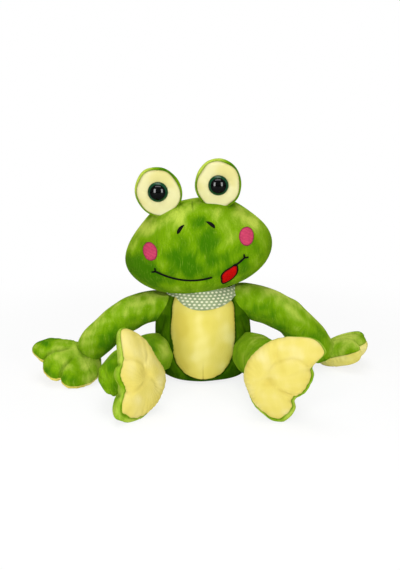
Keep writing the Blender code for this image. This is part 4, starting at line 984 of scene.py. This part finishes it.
def make_face(tree):
    for side, sign in SIDES.items():
        ripple = 3.0 if sign > 0 else 5.0

        def cheek(turn, ripple=ripple):
            base = 1.0 / math.hypot(math.cos(turn) / CHEEK_HALF_WIDTH, math.sin(turn) / CHEEK_HALF_HEIGHT)
            return base * (1.0 + 0.012 * math.sin(ripple * turn) + 0.008 * math.sin(11 * turn))

        centre = (CHEEK_SHIFT + sign * CHEEK_SPREAD, CHEEK_HEIGHT)
        dress(stitched_pad(f"cheek_pad_{side}", tree, centre, cheek), PINK, "head", (f"cheek_{side}",))

        slant = math.radians(sign * NOSTRIL_SLANT)
        along = Vector((math.sin(-slant), math.cos(slant)))
        across = Vector((along.y, -along.x))
        centre = Vector((NOSTRIL_SHIFT + sign * NOSTRIL_SPREAD, NOSTRIL_HEIGHT))
        bend = [
            centre + along * (NOSTRIL_REACH * t) + across * (NOSTRIL_BOW * (1.0 - t * t) * sign)
            for t in (-1.0, -0.6, 0.0, 0.6, 1.0)]
        stroke = stitched_line(
            f"nostril_pad_{side}", tree, bend, 22, 4.8 * MM, height=0.9 * MM, rise=0.4 * MM, sides=12,
            swell=nostril_swell)
        dress(stroke, BLACK, "head", (f"nostril_{side}",))

    def black_line(name, points, count, width, nodes=(), closed=False):
        dress(stitched_line(name, tree, points, count, width, closed), BLACK, "head", nodes)

    black_line("mouth_stitch", [mouth_point(s) for s in MOUTH_SHARES], 90, 2.5 * MM, ("mouth_line",))
    short_line = [mouth_point(s) for s in (0.74, 0.82, 0.9, 1.0)]
    black_line("mouth_corner_stitch", short_line, 30, 2.4 * MM, ("mouth_corner",))
    for side, sign in SIDES.items():
        x, z = mouth_point(sign)
        far, near = MOUTH_TICK * 0.75, MOUTH_TICK * 0.1
        tick = [(x - sign * near, z + far), (x, z), (x + sign * far, z - near)]
        black_line(f"mouth_tick_{side}", tick, 22, 2.1 * MM)

    centre = np.array((TONGUE_SPREAD, TONGUE_HEIGHT))
    half = np.array((TONGUE_HALF_WIDTH, TONGUE_HALF_HEIGHT))
    outline = smooth_path([centre + half * p for p in TONGUE_OUTLINE], 96, closed=True)
    turns = np.arctan2(outline[:, 1] - centre[1], outline[:, 0] - centre[0])
    reaches = np.hypot(outline[:, 0] - centre[0], outline[:, 1] - centre[1])
    order = np.argsort(turns)

    def tongue(turn):
        turn = (turn + math.pi) % (2 * math.pi) - math.pi
        return float(np.interp(turn, turns[order], reaches[order], period=2 * math.pi))

    dress(stitched_pad("tongue_pad", tree, centre, tongue, spokes=80), RED, "head", ("tongue",))
    grown = [p + (p - centre) / half * (0.8 * MM) for p in outline[::6]]
    black_line("tongue_edge_stitch", grown, 110, 1.5 * MM, ("tongue_outline",), closed=True)


# Eyes

def make_pod(side):
    sign = SIDES[side]
    lean = Matrix.Rotation(math.radians(sign * POD_LEAN[side]), 4, "Y")
    place = HEAD_FRAME @ Matrix.Translation((sign * POD_SPREAD, -POD_FORWARD, POD_HEIGHT[side])) @ lean
    place = place @ Matrix.Rotation(math.pi / 2, 4, "X")
    cage = cushion_cage(pod_outline(), POD_SEAM, POD_FRONT_BULGE, POD_BACK_BULGE)
    skin = Skin(refined(f"pod_form_{side}", cage, 4))
    co = skin.co
    flat = np.hypot(co[:, 0], co[:, 1] - EYE_RISE[side])
    # the panel is drawn in under the eye, in faint gathers that run out from it
    turn = np.arctan2(co[:, 1] - EYE_RISE[side], co[:, 0])
    gather = np.sin(turn * 9.0 + 2.0 * np.sin(turn * 2.0)) * np.exp(-((flat - 14 * MM) / (5 * MM)) ** 2)
    sink = np.exp(-(flat / (13 * MM)) ** 4)
    co[:, 2] += np.where(co[:, 2] > 0, gather * 0.28 * MM - sink * 0.3 * MM, 0.0)
    skin.lump(20, 21 + SECOND[side], 0.4)
    rim = np.exp(-((co[:, 2] - POD_SEAM_HEIGHT) / (0.9 * MM)) ** 2)
    swell = np.exp(-((co[:, 2] + 3 * MM) / (5 * MM)) ** 2)
    high = ramped(np.sin(turn) * 0.8 - np.cos(turn) * 0.5)
    co[:, :2] *= (1.0 - 0.012 * rim + (0.022 + 0.030 * high) * swell)[:, None]
    # painted shade along the seam round the panel
    skin.shade(rim * 0.6)
    # painted light: the green back is drawn lighter on its upper side
    skin.save(brushed(co, 91, base=0.46, gain=0.25) + 0.35 * high * (co[:, 2] < POD_SEAM_HEIGHT))
    panel = split(skin.item, f"pod_panel_{side}", True, place, POD_SEAM_HEIGHT)
    cover = split(skin.item, f"pod_back_{side}", False, place, POD_SEAM_HEIGHT)
    bpy.data.objects.remove(skin.item)
    dress(panel, EYE_CLOTH, "head", (f"eye_panel_{side}",))
    dress(cover, GREEN, "head", (f"eye_pod_cover_{side}", f"eye_pod_stuffing_{side}"))
    make_eye(side, place)
    return panel, cover


def make_eye(side, place):
    """The eye's domed cap on a low lip, turned about its own axis."""
    profile = []
    for k in range(0, 25):
        turn = math.pi / 2 * k / 24
        profile.append((EYE_RADIUS * math.sin(turn), 1.4 * MM + (EYE_HEIGHT - 0.8 * MM) * math.cos(turn)))
    profile += [
        (EYE_RADIUS + 0.15 * MM, 1.1 * MM), (EYE_RADIUS + 0.1 * MM, 0.5 * MM),
        (EYE_RADIUS - 0.3 * MM, 0.1 * MM), (2.5 * MM, 0.0), (2.5 * MM, -12 * MM)]
    bm = bmesh.new()
    top = bm.verts.new((0, 0, profile[0][1]))
    item = dome(f"eye_gloss_{side}", bm, top, [[
        bm.verts.new((radius * math.cos(angle), radius * math.sin(angle), height)) for angle in around(64)]
        for radius, height in profile[1:]])
    item.matrix_world = place @ Matrix.Translation((0.0, EYE_RISE[side], POD_FRONT_BULGE + FIT - 0.6 * MM))
    bpy.context.view_layer.update()
    dress(item, EYE, "head", (f"safety_eye_{side}",))


# Limbs

def limb_skin(name, path, radius, radii, start):
    item = refined(name, limb_cage(path, [share * radius for share in radii]), 4)
    return Skin(moved(item, Matrix.Translation(start)))


def share_along(co, start, along):
    return (co - np.array(start)) @ np.array(along) / along.length_squared


def make_arm(side):
    start = shoulder_place(side)
    along = wrist_place(side) - start
    skin = limb_skin(f"arm_skin_{side}", arm_path(side), ARM_RADIUS, ARM_RADII[side], start)
    co, normal = skin.co, skin.normal
    share = share_along(co, start, along)
    under_head = ramped(normal[:, 2] * 1.6) * ramped(1.8 - share * 4.0)
    skin.lift(waves(co, 30 * MM, 31 + SECOND[side]) * (1.0 - under_head))
    co[:, 2] = np.minimum(co[:, 2], np.interp(np.abs(co[:, 0]) / MM, *HEAD_ROOM[side], right=200.0) * MM)
    # soft folds across the elbow's hollow side, with painted shade in them
    for at, reach, depth in ((0.52, 0.05, 1.1), (0.66, 0.04, 0.8)):
        fold = np.exp(-((share - at - 0.03 * np.sin(co[:, 1] * 120.0)) / reach) ** 2)
        skin.press(fold * ramped(-normal[:, 2] + 0.2), depth, 0.25)
    dark = start + along * ARM_DARK[side] + Vector((0.0, -22 * MM, 0.0))
    low = start + along * 0.35 + Vector((0.0, -20 * MM, -14 * MM))
    spots = ((dark, 20 * MM, -0.34), (low, 20 * MM, -0.16))
    lay_and_light = brushed(co, 101 + 4 * SECOND[side], base=0.50, gain=0.11, patches=spots)
    # painted light: upward faces are drawn lighter, downward ones darker
    item = skin.save(lay_and_light + 0.20 * np.clip(normal[:, 2], -1.0, 1.0))
    dress(item, GREEN_LIMB, None, (f"arm_cover_{side}", f"arm_stuffing_{side}"))
    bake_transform(item)
    return item


def make_leg(side):
    start = hip_place(side)
    along = ankle_place(side) - start
    skin = limb_skin(f"leg_skin_{side}", leg_path(side), LEG_RADIUS, LEG_RADII, start)
    co = skin.co
    skin.lump(28, 51 + SECOND[side], 0.9)
    share = share_along(co, start, along)
    turn = np.arctan2(co[:, 2] - start.z, co[:, 0] - (start.x + share * along.x))
    gather = ramped((share - 0.62) / 0.38)
    pleat = np.sin(turn * 9.0 + 1.5 * np.sin(turn * 3.0 + share * 5.0))
    skin.lift(pleat * gather * 0.5)
    # painted shade in the pleats' troughs
    skin.shade(ramped(-pleat) ** 2 * gather * 0.35)
    skin.lift(np.sin(turn * 8.0 + 0.7) * np.exp(-((share - 0.10) / 0.09) ** 2) * 0.6)
    co[:, 2] = np.maximum(co[:, 2], 0.2 * MM)
    # painted light: upward faces are drawn lighter, downward ones darker
    lay_and_light = brushed(co, 111 + 4 * SECOND[side], base=0.42, gain=0.20) + 0.12 * skin.normal[:, 2]
    item = dress(skin.save(lay_and_light), GREEN_LIMB, None, (f"leg_cover_{side}", f"leg_stuffing_{side}"))
    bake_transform(item)
    return item


def paw_form(name, cage, reach, mirror, seed, creases, dimple, seam, glow):
    """A stuffed hand or foot about its seam plane, with its folds drawn in and painted shade in its seam,
    folds and dimple.
    """
    skin = Skin(refined(name, cage, 4))
    co = skin.co
    skin.lump(24, seed, 0.6)
    height, tip, toward = seam
    if not tip:
        skin.lift(ramped(np.hypot(co[:, 0], co[:, 1]) / reach) * (co[:, 0] > -0.2 * reach) * 1.3)
    reached = co[:, 0] * math.cos(toward) + co[:, 1] * math.sin(toward)
    ahead = co[:, 2] - height - tip * reached
    tight = np.exp(-(ahead / (1.1 * MM)) ** 2)
    behind = np.exp(-((ahead + 4 * MM) / (4 * MM)) ** 2) * ramped(reached / (20 * MM))
    co[:, :2] *= 1.0 + (behind * tip * 0.35)[:, None]
    skin.press(tight, 0.8, 0.5)
    flat = co.copy()
    flat[:, 2] = 0.0
    for face, line, width, depth, dark in creases:
        path = smooth_path([(x * reach, y * reach * mirror, 0.0) for x, y in line], 30)
        on = np.sign(co[:, 2]) == face
        strength = crease(flat, path, width * MM, (0.0, 0.25)) * on
        puff = crease(flat, path, width * 2.6 * MM, (0.0, 0.3)) * on
        skin.lift((puff * 0.35 - strength) * depth)
        skin.shade(strength * dark)
    if dimple:
        x, y, depth, width = dimple
        gap = np.hypot(flat[:, 0] - x * reach, flat[:, 1] - y * reach * mirror)
        pit = np.exp(-(gap / (width * MM)) ** 2) * (co[:, 2] > 0)
        co[:, 2] -= pit * depth * MM
        skin.shade(pit * 0.30)
    turn = np.arctan2(flat[:, 1], flat[:, 0])
    edge = np.exp(-((np.abs(co[:, 2]) - 4 * MM) / (4 * MM)) ** 2)
    skin.lift(np.sin(turn * 31.0 + 3.0 * np.sin(turn * 3.0)) * edge * 0.25)
    lay_and_light = brushed(co, seed + 60, base=0.54, gain=0.12) + glow
    if tip:
        lay_and_light += 0.10 * ramped(-ahead / MM)
    else:
        tips = ramped((np.hypot(flat[:, 0], flat[:, 1]) / reach - 0.45) / 0.3) * (flat[:, 0] > 0)
        lay_and_light -= 0.26 * tips * np.clip(waves(co, 22 * MM, seed + 5) + 0.8, 0.0, 1.2)
    return skin.save(lay_and_light)


def flattened(item, matrix):
    """Presses a form flat where it would go under the floor."""
    co = read(item)[0]
    world = co @ np.array(matrix.to_3x3()).T + np.array(matrix.translation)
    sunk = world[:, 2] < 0.0
    world[:, 2] = np.maximum(world[:, 2], 0.0)
    back = matrix.inverted()
    local = world @ np.array(back.to_3x3()).T + np.array(back.translation)
    write(item, np.where(sunk[:, None], local, co))


def make_paw(limb, side, outline, bulges, place, seed, creases, faces, dimple=None, seam=(0, 0, 0), glow=0.0):
    """A hand or foot that presses on the floor, as a front and a back piece.
    The outline comes with its reach. Each face says its part, its cloth and the nodes that it stands for."""
    shares, reach = outline
    mirror = SIDES[side]

    def cage():
        return cushion_cage(paw_outline(shares[side], reach[side], mirror), PAW_SEAM, *bulges)

    measure = refined("measure", cage(), 1)
    low = min((place @ vert.co).z for vert in measure.data.vertices)
    bpy.data.objects.remove(measure)
    place = Matrix.Translation((0, 0, -low - REST_DEPTH)) @ place
    form = paw_form(
        f"{limb}_form_{side}", cage(), reach[side], mirror, seed + SECOND[side], creases[side],
        dimple, seam, glow)
    flattened(form, place)
    pieces = [
        split(form, f"{limb}_{face[0]}_skin_{side}", keep_front, place, *seam)
        for keep_front, face in zip((True, False), faces)]
    bpy.data.objects.remove(form)
    for piece, (_, cloth, nodes) in zip(pieces, faces):
        dress(piece, cloth, f"{limb}_{side}", [f"{limb}_{node}_{side}" for node in nodes])
    return pieces


def make_hand(side):
    shift = Vector((SIDES[side] * HAND_SIDE[side], -HAND_FORWARD[side], -HAND_DROP[side]))
    turn = plane_turn(HAND_BACK[side], FINGER[side])
    return make_paw(
        "hand", side, (HAND_OUTLINE, HAND_REACH), (HAND_BACK_BULGE, PALM_BULGE[side]),
        Matrix.Translation(wrist_place(side) + shift) @ turn, 41, HAND_CREASES,
        (("back", GREEN_LIMB, ("back", "stuffing")), ("palm", PALM, ("palm",))), glow=HAND_GLOW[side])


def make_foot(side):
    yaw = math.radians(FOOT_YAW[side])
    out = Vector((math.sin(yaw), -math.cos(yaw), 0.0))
    across = Vector((math.cos(yaw), math.sin(yaw), 0.0))
    centre = ankle_place(side) + out * FOOT_STEP[side] + across * FOOT_ACROSS[side]
    upright = Matrix.Rotation(math.pi / 2 - math.radians(FOOT_LEAN[side]), 4, "X")
    turn = Matrix.Rotation(yaw, 4, "Z") @ upright @ Matrix.Rotation(math.radians(FOOT_ROLL[side]), 4, "Z")
    return make_paw(
        "foot", side, (FOOT_OUTLINE, FOOT_REACH), (SOLE_BULGE, UPPER_BULGE),
        Matrix.Translation(centre) @ turn, 61, FOOT_CREASES,
        (("sole", SOLE, ("sole",)), ("upper", GREEN_LIMB, ("upper", "stuffing"))),
        FOOT_DIMPLE[side], FOOT_SEAM[side])


# Neckerchief

def neck_hit(tree, height, angle):
    return tree.ray_cast(Vector((0, 0, height)), Vector((math.cos(angle), math.sin(angle), 0)))[:2]


def lay_pattern(item, across, down):
    """Where each point lies in the cloth's rows of dots, from its place across and down the cloth."""
    for name, values in (("cloth_u", across / DOT_ACROSS), ("cloth_v", down / DOT_DOWN)):
        item.data.attributes.new(name, "FLOAT", "POINT").data.foreach_set("value", values)


def make_band(tree):
    steps, rows = 240, 40
    outer = []
    inner = []
    us = []
    vs = []
    bm = bmesh.new()
    for row in range(rows + 1):
        up = row / rows
        for step in range(steps):
            degrees = 360.0 * step / steps - 180.0
            side = "left" if degrees > BANDANA_TIP else "right"
            share = min(abs(degrees - BANDANA_TIP) / BANDANA_FLAP[side], 1.0)
            edge = BANDANA_SIDE_EDGE - (BANDANA_SIDE_EDGE - BANDANA_TIP_EDGE) * (1.0 - share ** 2)
            height = edge + (BANDANA_TOP + 1.5 * MM - edge) * up
            turn = math.radians(degrees)
            point, normal = neck_hit(tree, height, turn)
            fold = 1.0 * MM * math.sin(up * 5.0 + 1.6 * math.cos(turn - math.radians(BANDANA_TIP)) + 0.8) ** 2
            fold += 0.5 * MM * math.sin(turn * 17.0 + up * 4.0) * (1.0 - up) * (0.25 + up)
            lift = CLOTH_GAP + 1.1 * MM + fold + 0.35 * MM * math.exp(-((up - 0.02) / 0.05) ** 2)
            outer.append(point + normal * lift)
            inner.append(point + normal * (lift - 0.9 * MM))
            us.append(degrees / 360.0 * BANDANA_GIRTH)
            vs.append(height / MM)
    points = [bm.verts.new(point) for point in outer + inner]
    rings = [points[start:start + steps] for start in range(0, len(points), steps)]
    bridge(bm, rings[:rows + 1] + rings[:rows:-1] + rings[:1])
    item = refined("bandana_cloth", bm)
    lay_pattern(item, np.array(us + us), np.array(vs + vs))
    dress(item, SAGE, None, ("bandana",))
    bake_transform(item)
    return item


def make_knot(tree):
    point, normal = tree.ray_cast(Vector((0, 0, KNOT_HEIGHT)), Y)[:2]
    behind = point + normal * (CLOTH_GAP + CLOTH + BANDANA_PLEAT + FIT + KNOT_HALF.y * KNOT_ROUND)
    bm = bmesh.new()
    bmesh.ops.create_cube(bm, size=2.0)
    bmesh.ops.subdivide_edges(bm, edges=bm.edges[:], cuts=2, use_grid_fill=True)
    bmesh.ops.scale(bm, verts=bm.verts, vec=KNOT_HALF)
    skin = Skin(refined("bandana_knot_cloth", bm, 3))
    co = skin.co
    turn = np.arctan2(co[:, 2], co[:, 1])
    skin.lift(np.sin(turn * 5.0 + co[:, 0] * 320.0) * 0.45)
    co[:, 2] *= 1.0 + 0.10 * np.exp(-(co[:, 0] / (6 * MM)) ** 2)
    co += np.array(behind)
    # painted shade in the troughs of the knot's folds
    write(skin.item, co, ramped(-np.sin(turn * 5.0 + co[:, 0] * 320.0)) * 0.5)
    lay_pattern(skin.item, co[:, 0] / MM, co[:, 2] / MM)
    return dress(skin.item, SAGE, "torso", ("bandana_knot",))


def make_tail(tree, side):
    top = KNOT_HEIGHT - KNOT_HALF.z * 0.7

    def place(up, across):
        share = across - 0.5
        middle = math.pi / 2 - SIDES[side] * math.radians(TAIL_SPREAD) * (1.0 + 0.6 * up)
        angle = middle + TAIL_WIDTH / TORSO_HALF_DEPTH * (0.3 + 0.35 * up) * share
        drop = TAIL_LENGTH * up * (1.0 - 0.25 * abs(share) * up)
        lift = CLOTH_GAP + 0.5 * MM + 0.7 * MM * math.cos(share * 2 * math.pi * 1.2) * (1.0 - 0.5 * up)
        return *neck_hit(tree, top - drop, angle), lift + 0.5 * MM, lift - 0.4 * MM

    item = slab(f"bandana_tail_cloth_{side}", 30, 16, place)
    co = read(item)[0]
    lay_pattern(item, co[:, 0] / MM, co[:, 2] / MM)
    return dress(item, SAGE, "torso", (f"bandana_tail_{side}",))


# Set

def aim(item, place, target):
    item.location = place
    item.rotation_euler = (target - Vector(place)).to_track_quat("-Z", "Y").to_euler()


def make_camera():
    camera = link(bpy.data.objects.new("camera", bpy.data.cameras.new("camera")))
    back = Vector((0.0, -math.cos(CAMERA_RISE), math.sin(CAMERA_RISE)))
    aim(camera, CAMERA_TARGET + back * CAMERA_DISTANCE, CAMERA_TARGET)
    camera.data.sensor_width = SENSOR
    camera.data.lens = SENSOR * CAMERA_LENS
    bpy.context.scene.camera = camera


def make_floor():
    """A floor that the camera sees as white, and that the eyes' gloss sees darker."""
    bpy.ops.mesh.primitive_plane_add(size=12.0, location=(0, 0, 0))
    floor = bpy.context.object
    floor.name = "floor"
    n = Nodes("pale_floor")
    rays = n.add("ShaderNodeLightPath").outputs
    away = n.add("ShaderNodeVectorMath", {0: n.place}, operation="LENGTH").outputs["Value"]
    pale = n.mix(n.noise(0.4), (0.93, 0.93, 0.93, 1), (0.96, 0.96, 0.96, 1))
    pale = n.mix(n.maths("MULTIPLY", rays["Is Glossy Ray"], 0.8), pale, (0.05, 0.06, 0.05, 1))
    n.finish(Base_Color=pale, Roughness=0.9)
    white = n.add("ShaderNodeEmission", {"Color": (1, 1, 1, 1)})
    share = n.maths("MULTIPLY", rays["Is Camera Ray"], n.ramp(away, 0.22, 0.60, 0.82, 1.0))
    join = n.add("ShaderNodeMixShader", {0: share, 1: n.shader.outputs[0], 2: white.outputs[0]})
    n.set(n.tree.nodes["Material Output"].inputs["Surface"], join.outputs[0])
    floor.data.materials.append(n.material)


def make_lights():
    for name, place, wide, tall, power in LIGHTS:
        lamp = bpy.data.lights.new(name, "AREA")
        lamp.shape = "RECTANGLE"
        lamp.size = wide
        lamp.size_y = tall
        lamp.energy = power
        aim(link(bpy.data.objects.new(name, lamp)), place, Vector((0, 0, 0.12)))
    world = bpy.data.worlds.new("studio")
    bpy.context.scene.world = world
    world.use_nodes = True
    tree = world.node_tree
    background = tree.nodes["Background"]
    background.inputs["Color"].default_value = (1, 1, 1, 1)
    path = tree.nodes.new("ShaderNodeLightPath")
    strength = tree.nodes.new("ShaderNodeMapRange")
    strength.inputs["To Min"].default_value = WORLD_LIGHT
    strength.inputs["To Max"].default_value = 1.0
    tree.links.new(path.outputs["Is Camera Ray"], strength.inputs["Value"])
    tree.links.new(strength.outputs["Result"], background.inputs["Strength"])
    bpy.context.scene.view_settings.view_transform = "Standard"


def main():
    torso, torso_tree = make_torso()
    belly = make_belly(torso_tree)
    head, head_tree = make_head()
    make_face(head_tree)
    stuffed = [torso, belly, head]
    for side in SIDES:
        stuffed += [*make_pod(side), make_arm(side), *make_hand(side), make_leg(side), *make_foot(side)]
        washer = bpy.data.objects[f"eye_washer_{side}"].data.materials
        washer.clear()
        washer.append(WASHER)
    band = make_band(torso_tree)
    knot = make_knot(torso_tree)
    tails = [make_tail(torso_tree, side) for side in SIDES]
    make_camera()
    make_floor()
    make_lights()


main()
